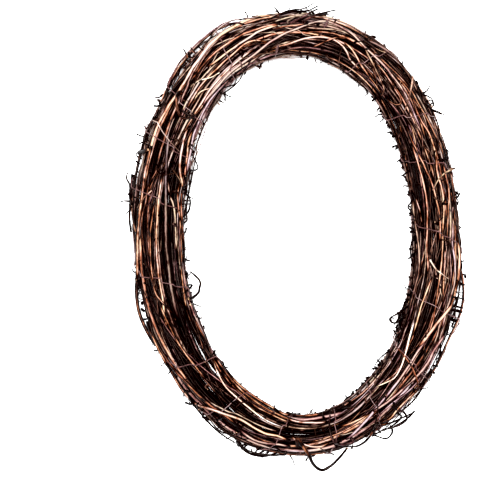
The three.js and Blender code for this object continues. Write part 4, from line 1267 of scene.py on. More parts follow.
def add_bud(shape, base, along, outward, radius, random):
    """A dry bud that leans along the cane from a knot."""
    length = random.uniform(*BUD_LENGTH)
    lean = random.uniform(*BUD_LEANS)
    way = along * lean + outward * (BUD_OUT - lean)
    line = base + outward * radius * BUD_DEPTH + way[None] * BUD_SHARES[:, None] * length
    widths = min(BUD_WIDTH[0], radius * BUD_WIDTH[1]) * BUD_WIDTHS
    shape.tube(line, widths, BUD_SIDES, random, tone=BUD_TONE, ridged=0, cut=ROUNDED)


def add_cane(shape, cane, random, tone=0.0):
    """A cane's tube with its knots and buds."""
    step = LINE_STEP if cane["radius"][0] > THIN else LINE_STEP * THIN_STEP
    line, radii, out, outward = fine_line(cane, step)
    # painted light on the flanks and the underside
    under = np.clip(UNDER_FROM - UNDER_SLOPE * outward[:, 2], 0, 1)
    # painted shade that darkens the canes deeper in the bundle
    tone = tone + DEPTH_SHADE * (1 - out) + UNDER_LIGHT * under
    taper = np.clip((len(line) - 1 - np.arange(len(line))) / TIP_POINTS, 0, 1)
    radii = radii * mix(TIP_WIDTH, 1, taper)
    run = run_of(line)
    if "kinks" in cane:
        share = (cane["kinks"] - cane["station"][0]) / (cane["station"][-1] - cane["station"][0])
        knots = knots_at(share * run[-1], random)
    else:
        knots = knots_along(run[-1], random)
    # painted highlight on the side that faces up and out, and painted shade on the other
    along, side, other = shape.tube(line, radii, sides_for(radii[0]), random, tone=tone, knots=knots,
                                    lit_way=worn_side(outward))
    for at, _, facing in knots:
        i = int(np.searchsorted(run, at))
        away = math.cos(facing) * side[i] + math.sin(facing) * other[i]
        if random.uniform() < BUDS:
            add_bud(shape, line[i], along[i], away, radii[i], random)


def add_shoot(shape, shoot, front, random):
    """A side shoot, smooth and thinning to its cut end."""
    rough = shoot["line"]
    count = max(SHOOT_POINTS, round(length_of(rough) / SHOOT_LINE_STEP))
    shares = np.linspace(0, 1, count)
    line = lifted(front, smooth_curve(rough, shares), shoot["radius"])
    slim = PALE_SLIM if shoot["pale"] else 1
    radii = shoot["radius"] * slim * mix(1, STOUT_TIP if shoot["radius"] > STOUTEST else SHOOT_TIP, shares)
    flare = 1 + FLARE * np.exp(-((shares * length_of(rough) - shoot["radius"] * 2) / FLARE_FALL) ** 2)
    tone = mix(*PALE_TONES, shares) if shoot["pale"] else SHOOT_TONE
    sides = STOUT_SIDES if shoot["radius"] >= STOUT else SHOOT_SIDES
    shape.tube(line, radii * flare, sides, random, tone=tone,
               knots=knots_along(length_of(rough), random, SHOOT_SWELL))


def lowest_disc(distance):
    """The disc that lies lowest in a section, as the solids' feet find it."""
    discs = discs_at(canes, float(station_at(distance)))
    return outermost(discs, 0, -math.pi / 2)


def add_foot(shape, disc, random):
    """A cut stub of a side shoot, which the ring rests on."""
    top = in_space(*disc[1:4])
    bottom = np.array([top[0], top[1], -FOOT_DEPTH])
    line = mix(top, bottom, FOOT_SHARES[:, None])
    shape.tube(line, FOOT_RADIUS * FOOT_WIDTHS, FOOT_SIDES, random, ridged=FOOT_RIDGED)


# The wire drawn tight
WIRE_FINE_STEPS = 72
WIRE_CLEAR = 0.1
WIRE_SIDES = 7
WIRE_TWIST_TURNS = 4.5
WIRE_TWIST_LENGTH = 8
WIRE_TWIST_FROM = 0.5
WIRE_TWIST_STEPS = 60
WIRE_TWIST_OUT = 2.02  # radii from the middle of the wire that it is wound round
WIRE_END_POINTS = 12


def taut_wire_line():
    """The wire drawn tight over the fine canes: on the hull of each section that it passes."""
    line = []
    total = (len(WIRE_CROSSINGS) - 1) * WIRE_FINE_STEPS
    first = round(WIRE_FINE_STEPS / WIRE_STEPS)
    for k in range(first, total - first):
        station, angle = wire_turn(k, WIRE_FINE_STEPS)
        discs = discs_at(canes, station)
        _, _, offset, height, radius = outermost(discs, 0, angle)
        out = radius + WIRE_RADIUS + WIRE_CLEAR
        line.append(in_space(station, offset + out * math.cos(angle), height + out * math.sin(angle)))
    line = np.array(line)
    for _ in range(2):
        line[1:-1] = (line[:-2] + 2 * line[1:-1] + line[2:]) / 4
    return line


def add_wire(shape, front, random):
    """The wire, and at each end the twist where it is wound round itself."""
    line = lifted(front, taut_wire_line(), WIRE_RADIUS)
    shape.tube(line, np.full(len(line), WIRE_RADIUS), WIRE_SIDES, random, ridged=0)
    place = np.linspace(WIRE_TWIST_FROM, WIRE_TWIST_LENGTH, WIRE_TWIST_STEPS)
    turn = (place / WIRE_TWIST_LENGTH * WIRE_TWIST_TURNS * 2 * math.pi)[:, None]
    for end in (line[:WIRE_END_POINTS], line[::-1][:WIRE_END_POINTS]):
        at, side, other = (points_at(place, run_of(end), way) for way in (end, *frames_along(end)[1:]))
        coil = at + (WIRE_RADIUS * WIRE_TWIST_OUT) * (np.cos(turn) * side + np.sin(turn) * other)
        shape.tube(coil, np.full(len(coil), WIRE_RADIUS), WIRE_SIDES, random, ridged=0)


# Curled tendrils and stiff twigs, rooted on the outermost canes all round
TENDRILS = 130
TENDRIL_SEED = 31
TENDRIL_RADII = (0.24, 0.5)
TENDRIL_LENGTHS = (5, 18)
TENDRIL_WIDTHS = (1, 0.5)  # from root to tip
TENDRIL_STEP = 0.7
TENDRIL_TONE = -0.1
TENDRIL_SIDES = 5
TWIG_SIDES = 6
CURLS = (0.2, 1.15)
CURL_POWERS = (1, 2.5)
CURL_WAVER = 0.25
CURL_WAVES = (4, 9)
CURL_SET_OFF = (0.15, 0.9)  # lean where it leaves the cane, in radians
FEWEST_STEPS = 6
TWIGS = 260
TWIG_RADII = (0.5, 1.25)
TWIG_LENGTHS = (3, 10)
TWIG_LEANS = (0.3, 1.25)
TWIG_JOINTS = (3, 6)
TWIG_KINK = 0.5
TWIG_WIDTHS = (1.1, 0.6)
TWIG_SHORT = 0.6  # width of the shortest, as a share
TWIG_KNOB = (0.5, 0.93, 0.08)  # how much the tip thickens, and where along the twig
TWIG_TONES = (-0.2, 0.1)
TWIG_FORKS = 0.3
FORK_SPREAD = (1, 1, 0.4)
FORK_WIDTHS = np.linspace(0.7, 0.4, 6)
FORK_BEND = 0.4
EDGE_SHARE = 0.66  # of them, at the bundle's edges
EDGE_FAN = 30
FRONT_FAN = 62
STANDING = (0.8, 1.1)  # how much of their height they keep at the edges
LYING = (0.25, 1)  # and on the front
LYING_FROM = 0.45  # sine of the angle round the bundle from which it counts as the front
ASIDE = 20  # millimetres round the bundle to the radian
LEAST_SKIN = 0.3  # least height over the bundle's skin
LOWEST = 0.6  # over the ground
TIP_CLEAR = 0.1  # how far below HIGHEST a tip is kept
LUMPS = 240
INNER_LUMPS = 110  # more of them on the inner side of the right arm
INNER_LUMPS_AT = (90, 430)
INNER_ANGLES_AT = (155, 205)
LUMP_RADII = (0.8, 1.5)
LUMP_LENGTHS = (2.2, 4.8)
LUMP_SHARES = (0, 0.3, 0.6, 0.85, 1)
LUMP_WIDTHS = np.array([0.6, 0.8, 1, 0.8, 0.3])
LUMP_TONES = (-0.2, 0.15)
HIGHEST = 44.2  # over the bundle's underside, to stay inside the solids' box


def spiral(length, random):
    """A flat line that sets off nearly straight and curls up ever tighter."""
    steps = max(FEWEST_STEPS, round(length / TENDRIL_STEP))
    share = (np.arange(steps) + 0.5) / steps
    curl = random.choice((-1, 1)) * random.uniform(*CURLS)
    waver = random.uniform(-CURL_WAVER, CURL_WAVER) * np.sin(
        share * random.uniform(*CURL_WAVES) + random.uniform(0, PHASES))
    heading = np.cumsum((curl * share ** random.uniform(*CURL_POWERS) + waver) * length / steps)
    heading += random.uniform(*CURL_SET_OFF) * random.choice((-1, 1))
    step = length / steps
    return np.vstack([[0, 0], np.cumsum(np.stack([np.sin(heading), np.cos(heading)], 1) * step, 0)])


def crooked(length, random):
    """A flat line of a stiff twig that leans along the cane, with a kink or two."""
    heading = random.uniform(*TWIG_LEANS) * random.choice((-1, 1))
    points = [np.zeros(2)]
    joints = random.integers(*TWIG_JOINTS)
    for _ in range(joints):
        points.append(points[-1] + length / joints * np.array([math.sin(heading), math.cos(heading)]))
        heading += random.uniform(-TWIG_KINK, TWIG_KINK)
    return np.array(points)


def tendril_line(distance, angle, flat_line, random):
    """The line of a tendril or twig: it rises from a cane, beside the bundle or over its front."""
    station = float(station_at(distance))
    root = outermost(discs_at(canes, station), middle_at(station), angle)
    along, up = flat_line.T
    flat = random.uniform(*(LYING if math.sin(angle) > LYING_FROM else STANDING))
    turn = up * math.sqrt(max(0, 1 - min(1, flat) ** 2)) / ASIDE * random.choice((-1, 1))
    line = [in_space(*root[1:4])]
    for slide, height, aside in zip(along, up, turn):
        at = float(station_at(distance + slide))
        skin = skin_at(discs_at(canes, at), middle_at(at), angle + aside)
        line.append(on_bundle(at, angle + aside, skin + max(LEAST_SKIN, height * flat)))
    line = np.array(line)
    line[:, 2] = np.minimum(line[:, 2], HIGHEST - TIP_CLEAR * np.arange(len(line)) / len(line))
    line[:, 2] = np.maximum(line[:, 2], LOWEST - FOOT_DEPTH)
    return line


def root_place(random):
    """Where a tendril or twig grows: a distance round the ring and an angle, more often at the edges."""
    edge = random.uniform() < EDGE_SHARE
    centre = random.choice(EDGES) if edge else TOP
    fan = EDGE_FAN if edge else FRONT_FAN
    return random.uniform(0, RING_LENGTH), (centre + random.uniform(-1, 1) * fan) * DEGREE


def add_tendrils(shapes, random):
    """Thin tendrils that curl up."""
    for index in range(TENDRILS):
        rough = tendril_line(*root_place(random), spiral(random.uniform(*TENDRIL_LENGTHS), random), random)
        line = smooth_curve(rough, np.linspace(0, 1, len(rough) * 2))
        radii = random.uniform(*TENDRIL_RADII) * mix(*TENDRIL_WIDTHS, np.linspace(0, 1, len(line)))
        shape = shapes[index % len(shapes)]
        shape.tube(line, radii, TENDRIL_SIDES, random, tone=TENDRIL_TONE, ridged=0, cut=ROUNDED)


def add_twigs(shapes, random):
    """Stiff twigs with a thickened tip, some of them forked."""
    for index in range(TWIGS):
        shape = shapes[index % len(shapes)]
        place = root_place(random)
        length = random.uniform(*TWIG_LENGTHS)
        line = tendril_line(*place, crooked(length, random), random)
        radius = random.uniform(*TWIG_RADII) * mix(TWIG_SHORT, 1, length / TWIG_LENGTHS[1])
        shares = np.linspace(0, 1, len(line) * 2)
        swell, at, width = TWIG_KNOB
        radii = radius * mix(*TWIG_WIDTHS, shares) * (1 + swell * np.exp(-((shares - at) / width) ** 2))
        tone = random.uniform(*TWIG_TONES)
        shape.tube(smooth_curve(line, shares), radii, TWIG_SIDES, random, tone=tone, cut=ROUNDED)
        if random.uniform() < TWIG_FORKS:
            side = line[2] + random.uniform(-1, 1, 3) * FORK_SPREAD * length * 0.5
            elbow = mix(line[2], side, 0.5) + random.uniform(-FORK_BEND, FORK_BEND, 3)
            fork = smooth_curve([line[2], elbow, side], np.linspace(0, 1, len(FORK_WIDTHS)))
            shape.tube(fork, radius * FORK_WIDTHS, TENDRIL_SIDES, random, tone=tone, ridged=0, cut=ROUNDED)


def add_lumps(shape, random):
    """Short stubs and dry buds that thicken towards the tip."""
    places = [root_place(random) for _ in range(LUMPS)]
    for _ in range(INNER_LUMPS):
        places.append((random.uniform(*INNER_LUMPS_AT), random.uniform(*INNER_ANGLES_AT) * DEGREE))
    for place in places:
        line = tendril_line(*place, crooked(random.uniform(*LUMP_LENGTHS), random), random)
        radii = random.uniform(*LUMP_RADII) * LUMP_WIDTHS
        tone = random.uniform(*LUMP_TONES)
        shape.tube(smooth_curve(line, LUMP_SHARES), radii, TWIG_SIDES, random, tone=tone, cut=ROUNDED)


# Thin shreds of bark that have come away from the canes
SHREDS = 70
SHRED_SEED = 47
SHRED_STEP = 1.5
SHRED_POINTS = (5, 14)
SHRED_FAN = 0.6
SHRED_LIFTS = (0.6, 2.6)
SHRED_WIDTHS = (0.25, 0.5)
SHRED_TAPER = (0.5, 2.9)  # stretch of a half wave
SHRED_ROOT = 0.96
SHRED_SIDES = 4
SHRED_TONE = 0.1


def add_shreds(shape, random):
    """Shreds that lift off a cane towards one end."""
    for _ in range(SHREDS):
        cane = fine_canes[random.integers(len(fine_canes))]
        line, radii, _, _ = fine_line(cane, SHRED_STEP)
        count = int(random.uniform(*SHRED_POINTS))
        first = int(random.uniform(0, len(line) - count - 1))
        stretch = slice(first, first + count)
        _, side, other = (way[stretch] for way in frames_along(line))
        facing = math.pi / 2 * random.uniform(-1, 1) * SHRED_FAN
        lift = np.linspace(0, 1, count)[:, None] ** 2 * random.uniform(*SHRED_LIFTS)
        outward = math.cos(facing) * side + math.sin(facing) * other
        path = line[stretch] + outward * (radii[stretch][:, None] * SHRED_ROOT + lift)
        path[:, 2] = np.minimum(path[:, 2], HIGHEST)
        widths = random.uniform(*SHRED_WIDTHS) * np.sin(np.linspace(*SHRED_TAPER, count)) ** 0.5
        shape.tube(path, widths, SHRED_SIDES, random, tone=SHRED_TONE, ridged=0, cut=ROUNDED)


# The front as a grid seen from above, for canes and twigs to be laid on
CELL = 0.5
GRID_HALF = (170, 225)
EMPTY = -99
FRONT_FROM = 12  # height over the bundle's underside from which things count as the front
LAID_STEP = 0.7
LAID_MESH_STEP = 1.5
THINNED_LEAST = 5
LAID_SEED = 61
LAID_WAVER = 0.22
LAID_WAVER_POINTS = 12
LAID_WAVER_EVENED = 3
LAID_CURVE_STEPS = 30  # for each place
LAID_FEWEST = 8
LAID_WIDTHS = (1.04, 0.9)
LAID_SIDES_MORE = 1  # than other canes as thick
LAID_TWIG_WIDTHS = (1.1, 0.6)
LAID_TWIG_SIDES = 7
LAID_TWIG_RIDGED = 0.6
LAID_TWIG_SWELL = (0.2, 0.4)
SPAN = 5  # steps either way over which a laid cane bridges the hollows
SINK = 0.4  # share by which it gives way to them
DIVE = 5.5
DIVE_LENGTH = 13
DIVE_SHADE = -0.4  # painted shade, darker towards an end that dives in under the others
LAID_SLIM = 0.86
SHOOT_MOST_LIFT = 3.5


class Front:
    """How high things reach on the front."""

    def __init__(self):
        columns, rows = (round(2 * half / CELL) + 1 for half in GRID_HALF)
        self.height = np.full((columns, rows), float(EMPTY))

    def around(self, line, radius):
        """The cells round the points of a line, with half the height of a ball of the radius over them."""
        column, row = np.round((line[:, :2] + GRID_HALF) / CELL).astype(int).T
        reach = math.ceil(radius / CELL)
        for across in range(-reach, reach + 1):
            for up in range(-reach, reach + 1):
                room = radius ** 2 - (across * across + up * up) * CELL ** 2
                if room > 0:
                    yield (column + across, row + up), math.sqrt(room)

    def note(self, line, radius):
        line = line[line[:, 2] > FRONT_FROM]
        for cells, half in self.around(line, radius):
            np.maximum.at(self.height, cells, line[:, 2] + half)

    def lowest(self, line, radius):
        """The least heights at which a line of the radius clears what is there."""
        found = np.full(len(line), float(EMPTY))
        for cells, half in self.around(line, radius):
            found = np.maximum(found, self.height[cells] + half)
        return found


def evened(values, reach):
    """Values evened out over so many neighbours on either side."""
    kernel = np.hanning(2 * reach + 3)[1:-1]
    return np.convolve(np.pad(values, reach, "edge"), kernel / kernel.sum(), "valid")


def draped(lowest):
    """The heights of a springy line that lies on the given ones."""
    windows = np.lib.stride_tricks.sliding_window_view(np.pad(lowest, SPAN, "edge"), 2 * SPAN + 1)
    return mix(evened(windows.max(1), SPAN), evened(lowest, SPAN), SINK)


def laid_line(front, places, radius, free_tip, random):
    """A cane or twig through its places, resting on the front, whose ends dive in."""
    curve = smooth_curve(places, np.linspace(0, 1, LAID_CURVE_STEPS * len(places)))
    flat = in_space(station_at(curve[:, 0]), curve[:, 1], 0)
    run = run_of(flat)
    at = np.linspace(0, run[-1], max(LAID_FEWEST, round(run[-1] / LAID_STEP)))
    waver = random.uniform(-1, 1, len(at) // LAID_WAVER_POINTS + 2)
    waver = np.interp(np.linspace(0, 1, len(at)), np.linspace(0, 1, len(waver)), waver)
    waver = evened(waver, LAID_WAVER_EVENED)
    line = points_at(at, run, flat)
    line[:, 0] += LAID_SHIFT[0] + LAID_WAVER * waver
    line[:, 1] += LAID_SHIFT[1] - LAID_WAVER * waver
    lowest = front.lowest(line, radius)
    held = np.flatnonzero(lowest > EMPTY / 2)
    if len(held):
        lowest = np.interp(np.arange(len(line)), held, lowest[held])
    else:
        lowest = np.full(len(line), bundle_at(station_at(places[0][0]))[1] * FLATNESS)
    height = np.minimum(draped(lowest), HIGHEST - radius)
    near_end = at if free_tip else np.minimum(at, at[::-1])
    line[:, 2] = height - DIVE * np.maximum(0, 1 - near_end / DIVE_LENGTH) ** 2
    front.note(line, radius)
    return line


def thinned(line, step):
    """The same line with about so much between its points."""
    count = max(THINNED_LEAST, round(length_of(line) / step))
    return points_at(np.linspace(0, len(line) - 1, count), np.arange(len(line)), line)


def fine_front():
    """The front as the canes and vines make it."""
    front = Front()
    for cane in fine_canes + vines:
        line, radii, _, _ = fine_line(cane, LAID_STEP)
        front.note(line, float(radii.mean()))
    return front


def add_laid(shapes, front, random):
    """The canes and twigs that lie on the front, each over those before it."""
    for bark_name, radius, places in LAID_CANES:
        radius *= LAID_SLIM
        line = thinned(laid_line(front, places, radius, False, random), LAID_MESH_STEP)
        share = np.linspace(0, 1, len(line))
        near_end = np.minimum(share, 1 - share) * length_of(line)
        tone = random.uniform(*LAID_TONES[bark_name])
        # painted shade towards the ends that dive in under the others
        tone = tone + DIVE_SHADE * np.maximum(0, 1 - near_end / DIVE_LENGTH)
        radii = radius * mix(*LAID_WIDTHS, share)
        knots = knots_along(length_of(line), random)
        # painted highlight on the upper side of each laid cane, and painted shade beneath
        up = np.broadcast_to((0, 0, 1), line.shape)
        sides = sides_for(radius) + LAID_SIDES_MORE
        shapes[bark_name].tube(line, radii, sides, random, tone=tone, knots=knots, lit_way=up)
    for bark_name, radius, places in LAID_TWIGS:
        line = thinned(laid_line(front, places, radius, True, random), LAID_MESH_STEP / 2)
        radii = radius * mix(*LAID_TWIG_WIDTHS, np.linspace(0, 1, len(line)))
        tone = random.uniform(*LAID_TONES[bark_name])
        knots = knots_along(length_of(line), random, LAID_TWIG_SWELL)
        # a weaker painted highlight on the upper side of each laid twig, and painted shade beneath
        half_up = np.broadcast_to((0, 0, 0.5), line.shape)
        shapes[bark_name].tube(line, radii, LAID_TWIG_SIDES, random, tone=tone, ridged=LAID_TWIG_RIDGED,
                               knots=knots, lit_way=half_up)


def lifted(front, line, radius):
    """A line of the radius raised where laid canes are in its way on the front."""
    lift = front.lowest(line, radius) - line[:, 2]
    lift[(lift > SHOOT_MOST_LIFT) | (lift < 0)] = 0
    raised = line.copy()
    raised[:, 2] = np.minimum(line[:, 2] + draped(lift), np.maximum(line[:, 2], HIGHEST - radius))
    return raised


# Materials: each bark's colours from its depths to its palest, and the tones where they lie
BARK_COLOURS = {
    "orange": [(0.0004, 0.0001, 0.0001), (0.017, 0.0037, 0.0013),
               (0.168, 0.066, 0.034), (0.345, 0.275, 0.24)],
    "pink": [(0.0004, 0.0001, 0.0001), (0.011, 0.0024, 0.0024),
             (0.11, 0.049, 0.05), (0.27, 0.22, 0.22)],
    "brown": [(0.0003, 0.0001, 0.0001), (0.006, 0.0018, 0.0012),
              (0.08, 0.041, 0.031), (0.28, 0.23, 0.21)],
    "dark": [(0.0002, 0.0001, 0.0001), (0.0027, 0.0007, 0.0005),
             (0.031, 0.0135, 0.0115), (0.15, 0.115, 0.11)],
    "pale": [(0.008, 0.0028, 0.0015), (0.074, 0.036, 0.023),
             (0.29, 0.22, 0.18), (0.52, 0.48, 0.46)],
}
BARK_STOPS = (0.38, 0.5, 0.63, 0.84)
# Noises over the bark: factor on the distance along the cane, scale, detail and share in the tone
BARK_NOISES = {
    "streaks": (0.2, 0.5, 3, 0.85),
    "patches": (0.12, 0.13, 2, 0.65),
    "fibres": (0.12, 4.5, 2, 0.45),
}
BARK_ROUGHNESS = (0.5, 0.12)  # share of the fibres' noise, and what is added to it
BARK_BUMP = (0.00015, 0.5)  # height in metres, and strength
TINT_NOISE = (0.06, 0.22, 1)  # factor on the distance, scale and detail
TINT_STOPS = (0.41, 0.5, 0.59)
TINTS = ((1, 0.86, 0.79), (0.98, 0.98, 0.8), (0.93, 0.94, 1))  # redder, yellower and greyer stretches
BARK_GLOSS = {"orange": 0.1, "pink": 0.12, "brown": 0.06, "dark": 0.03, "pale": 0.15}
GLOSS_TINT = (1, 0.72, 0.62, 1)
CUT_COLOURS = [(0.3, (0.16, 0.085, 0.045)), (0.7, (0.5, 0.33, 0.2))]
CUT_GRAIN = (1, 3.5, 3)
CUT_ROUGHNESS = 0.75
CUT_BUMP = (0.0002, 0.5)
WIRE_COLOURS = [(0.35, (0.03, 0.013, 0.012)), (0.65, (0.12, 0.055, 0.052))]
WIRE_SCUFFS = (0.5, 0.9, 3)
WIRE_ROUGHNESS = (0.3, 0.2)  # share of the scuffs' noise, and what is added to it
WIRE_BUMP = (0.0001, 0.3)
NOISE_ROUGHNESS = 0.55


class Nodes:
    """A material's node tree, with short ways to add the nodes used here."""

    def __init__(self, name):
        self.material = bpy.data.materials.new(name)
        self.material.use_nodes = True
        self.tree = self.material.node_tree
        self.shader = self.tree.nodes["Principled BSDF"]

    def add(self, kind, inputs=(), **settings):
        node = self.tree.nodes.new(kind)
        for key, value in settings.items():
            setattr(node, key, value)
        for key, value in dict(inputs).items():
            self.set(node.inputs[key], value)
        return node

    def set(self, socket, value):
        if isinstance(value, bpy.types.NodeSocket):
            self.tree.links.new(value, socket)
        else:
            socket.default_value = value

    def math(self, operation, a, b):
        return self.add("ShaderNodeMath", {0: a, 1: b}, operation=operation).outputs[0]

    def noise(self, place, stretch, scale, detail=2.0):
        """Noise over the bark, drawn out along the cane."""
        drawn = self.add("ShaderNodeVectorMath", {0: place, 1: (1, 1, stretch)}, operation="MULTIPLY")
        inputs = {"Vector": drawn.outputs[0], "Scale": scale, "Detail": detail,
                  "Roughness": NOISE_ROUGHNESS}
        return self.add("ShaderNodeTexNoise", inputs).outputs["Fac"]

    def ramp(self, value, stops):
        """Colours by a value: its stops as places and colours."""
        node = self.add("ShaderNodeValToRGB", {"Fac": value})
        points = node.color_ramp.elements
        while len(points) < len(stops):
            points.new(0.5)
        for point, (place, colour) in zip(points, stops):
            point.position = place
            point.color = (*colour, 1)
        return node.outputs["Color"]

    def rough(self, value, share, least):
        """Roughness that follows a value, from the least of it up."""
        scaled = self.math("MULTIPLY", value, share)
        self.set(self.shader.inputs["Roughness"], self.math("ADD", scaled, least))

    def bump(self, height, distance, strength):
        inputs = {"Height": height, "Distance": distance, "Strength": strength}
        self.set(self.shader.inputs["Normal"], self.add("ShaderNodeBump", inputs).outputs["Normal"])


def bark_material(name):
    """Bark in long streaks and patches, with fine fibres."""
    nodes = Nodes("bark_" + name)
    place = nodes.add("ShaderNodeAttribute", attribute_name="bark_place").outputs["Vector"]
    tone = nodes.add("ShaderNodeAttribute", attribute_name="bark_tone").outputs["Fac"]
    noises = {kind: nodes.noise(place, *drawn) for kind, (*drawn, _) in BARK_NOISES.items()}
    value = nodes.math("ADD", tone, 0.5)
    for kind, noise in noises.items():
        change = nodes.math("MULTIPLY", nodes.math("SUBTRACT", noise, 0.5), BARK_NOISES[kind][-1])
        value = nodes.math("ADD", value, change)
    colour = nodes.ramp(value, list(zip(BARK_STOPS, BARK_COLOURS[name])))
    tint = nodes.ramp(nodes.noise(place, *TINT_NOISE), list(zip(TINT_STOPS, TINTS)))
    tinted = nodes.add("ShaderNodeVectorMath", {0: colour, 1: tint}, operation="MULTIPLY")
    nodes.set(nodes.shader.inputs["Base Color"], tinted.outputs[0])
    nodes.rough(noises["fibres"], *BARK_ROUGHNESS)
    nodes.shader.inputs["Specular IOR Level"].default_value = BARK_GLOSS[name]
    nodes.shader.inputs["Specular Tint"].default_value = GLOSS_TINT
    nodes.bump(noises["fibres"], *BARK_BUMP)
    return nodes.material


def cut_material():
    """Pale end wood with a darker pith and rim."""
    nodes = Nodes("cut_wood")
    place = nodes.add("ShaderNodeAttribute", attribute_name="bark_place").outputs["Vector"]
    grain = nodes.noise(place, *CUT_GRAIN)
    nodes.set(nodes.shader.inputs["Base Color"], nodes.ramp(grain, CUT_COLOURS))
    nodes.shader.inputs["Roughness"].default_value = CUT_ROUGHNESS
    nodes.bump(grain, *CUT_BUMP)
    return nodes.material


def wire_material():
    """Thin coated wire, scuffed a little."""
    nodes = Nodes("wire_coating")
    place = nodes.add("ShaderNodeAttribute", attribute_name="bark_place").outputs["Vector"]
    scuffs = nodes.noise(place, *WIRE_SCUFFS)
    nodes.set(nodes.shader.inputs["Base Color"], nodes.ramp(scuffs, WIRE_COLOURS))
    nodes.rough(scuffs, *WIRE_ROUGHNESS)
    nodes.bump(scuffs, *WIRE_BUMP)
    return nodes.material


bark = {name: bark_material(name) for name in BARK_COLOURS}
cut_wood = cut_material()
wire_coating = wire_material()


# Seeds and ranges of tone of the pieces
CANE_SEED = 100
VINE_MESH_SEED = 200
WIRE_SEED = 300
CANE_TONES = (-0.52, -0.2)
VINE_TONES = (-0.54, -0.14)


def place_piece(shape, name, materials, slot, *stands_for):
    """Makes a shape a piece that rides with the wreath."""
    piece = shape.piece(name, materials)
    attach(piece, "root")
    if stands_for:
        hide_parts(*stands_for)


def build_canes(front):
    """Each fine cane with its shoots and feet, in place of its solid."""
    feet = [lowest_disc(distance) for distance in FOOT_DISTANCES]
    for index, (cane, fine) in enumerate(zip(canes, fine_canes)):
        own = np.random.default_rng(CANE_SEED + index)
        shape = Shape()
        add_cane(shape, fine, own, own.uniform(*CANE_TONES))
        for shoot in shoots:
            if shoot["cane"] == index and not shoot["pale"]:
                add_shoot(shape, shoot, front, own)
        for disc in feet:
            if int(disc[0]) == index:
                add_foot(shape, disc, own)
        materials = [bark[cane["bark"]], cut_wood]
        place_piece(shape, "fine_" + cane["name"], materials, "bark_" + cane["bark"], cane["name"])


def build_vines():
    """The fine vines, in one piece for each bark."""
    for name in sorted({line["bark"] for line in vines}):
        own = np.random.default_rng(VINE_MESH_SEED + len(name))
        shape = Shape()
        for line in vines:
            if line["bark"] == name:
                add_cane(shape, line, own, own.uniform(*VINE_TONES))
        place_piece(shape, "fine_vines_" + name, [bark[name], cut_wood], "bark_" + name)


def build_laid(front):
    """The laid canes and the pale shoots, in one piece for each bark."""
    shapes = {name: Shape() for name in BARK_COLOURS}
    random = np.random.default_rng(LAID_SEED)
    add_laid(shapes, front, random)
    for shoot in shoots:
        if shoot["pale"]:
            add_shoot(shapes["pale"], shoot, front, random)
    for name, shape in shapes.items():
        slot = "bark_orange" if name == "pale" else "bark_" + name
        place_piece(shape, "laid_canes_" + name, [bark[name], cut_wood], slot)


def build_rest(front):
    """The wire, the tendrils and twigs, and the shreds."""
    wire = Shape()
    add_wire(wire, front, np.random.default_rng(WIRE_SEED))
    place_piece(wire, "fine_binding_wire", [wire_coating], "wire_coating", "binding_wire")
    dark, light = Shape(), Shape()
    random = np.random.default_rng(TENDRIL_SEED)
    add_tendrils((dark, dark, light), random)
    add_twigs((dark, light), random)
    add_lumps(dark, random)
    place_piece(dark, "tendrils_dark", [bark["dark"]], "bark_dark")
    place_piece(light, "tendrils_brown", [bark["brown"]], "bark_brown")
    shreds = Shape()
    add_shreds(shreds, np.random.default_rng(SHRED_SEED))
    place_piece(shreds, "bark_shreds", [bark["orange"]], "bark_orange")


front = fine_front()
build_laid(front)
build_canes(front)
build_vines()
build_rest(front)

# The camera as the photograph has it, in metres
VIEW_HEIGHT = 1.5
SEEN_HEIGHT = 0.433  # of the picture, at the wreath's middle
SENSOR = 36  # millimetres, as is the lens
LOOKS_AT = (SHIFT[0] - 53.8, SHIFT[1] - 4)  # in millimetres

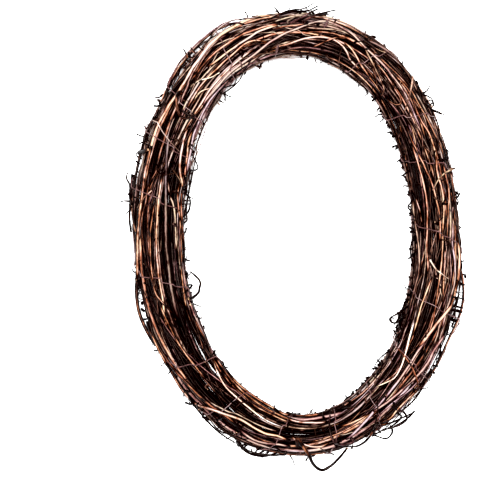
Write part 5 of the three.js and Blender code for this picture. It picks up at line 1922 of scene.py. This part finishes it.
# Soft studio light: name, place in metres, size and power of each lamp
LIGHTS = [("key_light", (-0.12, 0.18, 2.25), 0.4, 146), ("soft_light", (0.1, -0.1, 2.4), 1.6, 54)]
WORLD_STRENGTH = 0.85
FLOOR_SIZE = 6
FLOOR_GRAIN = 60
FLOOR_COLOURS = [(0.3, (0.92, 0.92, 0.92)), (0.7, (0.94, 0.94, 0.94))]
FLOOR_ROUGHNESS = 0.9
FLOOR_GLOSS = 0.1

# What counts as black in the picture, by channel, since its darks are a deep red-brown
BLACK_POINT = (0.0003, 0.0056, 0.0052)
GAMMA = 0.8


def build_camera():
    camera = bpy.data.cameras.new("camera")
    camera.sensor_width = SENSOR
    middle = (cad_box[0][2] + cad_box[1][2]) / 2
    camera.lens = SENSOR * VIEW_HEIGHT / SEEN_HEIGHT
    placed = bpy.data.objects.new("camera", camera)
    placed.location = (LOOKS_AT[0] * MM, LOOKS_AT[1] * MM, middle + VIEW_HEIGHT)
    bpy.context.scene.collection.objects.link(placed)
    bpy.context.scene.camera = placed


def build_light(name, place, size, power):
    light = bpy.data.lights.new(name, "AREA")
    light.shape = "DISK"
    light.size = size
    light.energy = power
    placed = bpy.data.objects.new(name, light)
    placed.location = place
    placed.rotation_euler = (-(placed.location.normalized())).to_track_quat("-Z", "Y").to_euler()
    bpy.context.scene.collection.objects.link(placed)


def build_floor():
    nodes = Nodes("pale_floor")
    grain = nodes.noise(nodes.add("ShaderNodeTexCoord").outputs["Object"], 1, FLOOR_GRAIN)
    nodes.set(nodes.shader.inputs["Base Color"], nodes.ramp(grain, FLOOR_COLOURS))
    nodes.shader.inputs["Roughness"].default_value = FLOOR_ROUGHNESS
    nodes.shader.inputs["Specular IOR Level"].default_value = FLOOR_GLOSS
    bpy.ops.mesh.primitive_plane_add(size=FLOOR_SIZE, location=(0, 0, 0))
    floor = bpy.context.object
    floor.name = "floor"
    floor.data.materials.append(nodes.material)


def build_world():
    world = bpy.data.worlds.new("studio")
    world.use_nodes = True
    background = world.node_tree.nodes["Background"]
    background.inputs["Color"].default_value = (1, 1, 1, 1)
    background.inputs["Strength"].default_value = WORLD_STRENGTH
    bpy.context.scene.world = world


build_camera()
build_floor()
for light in LIGHTS:
    build_light(*light)
build_world()
view = bpy.context.scene.view_settings
view.view_transform = "Standard"
view.gamma = GAMMA
view.use_curve_mapping = True
view.curve_mapping.black_level = BLACK_POINT
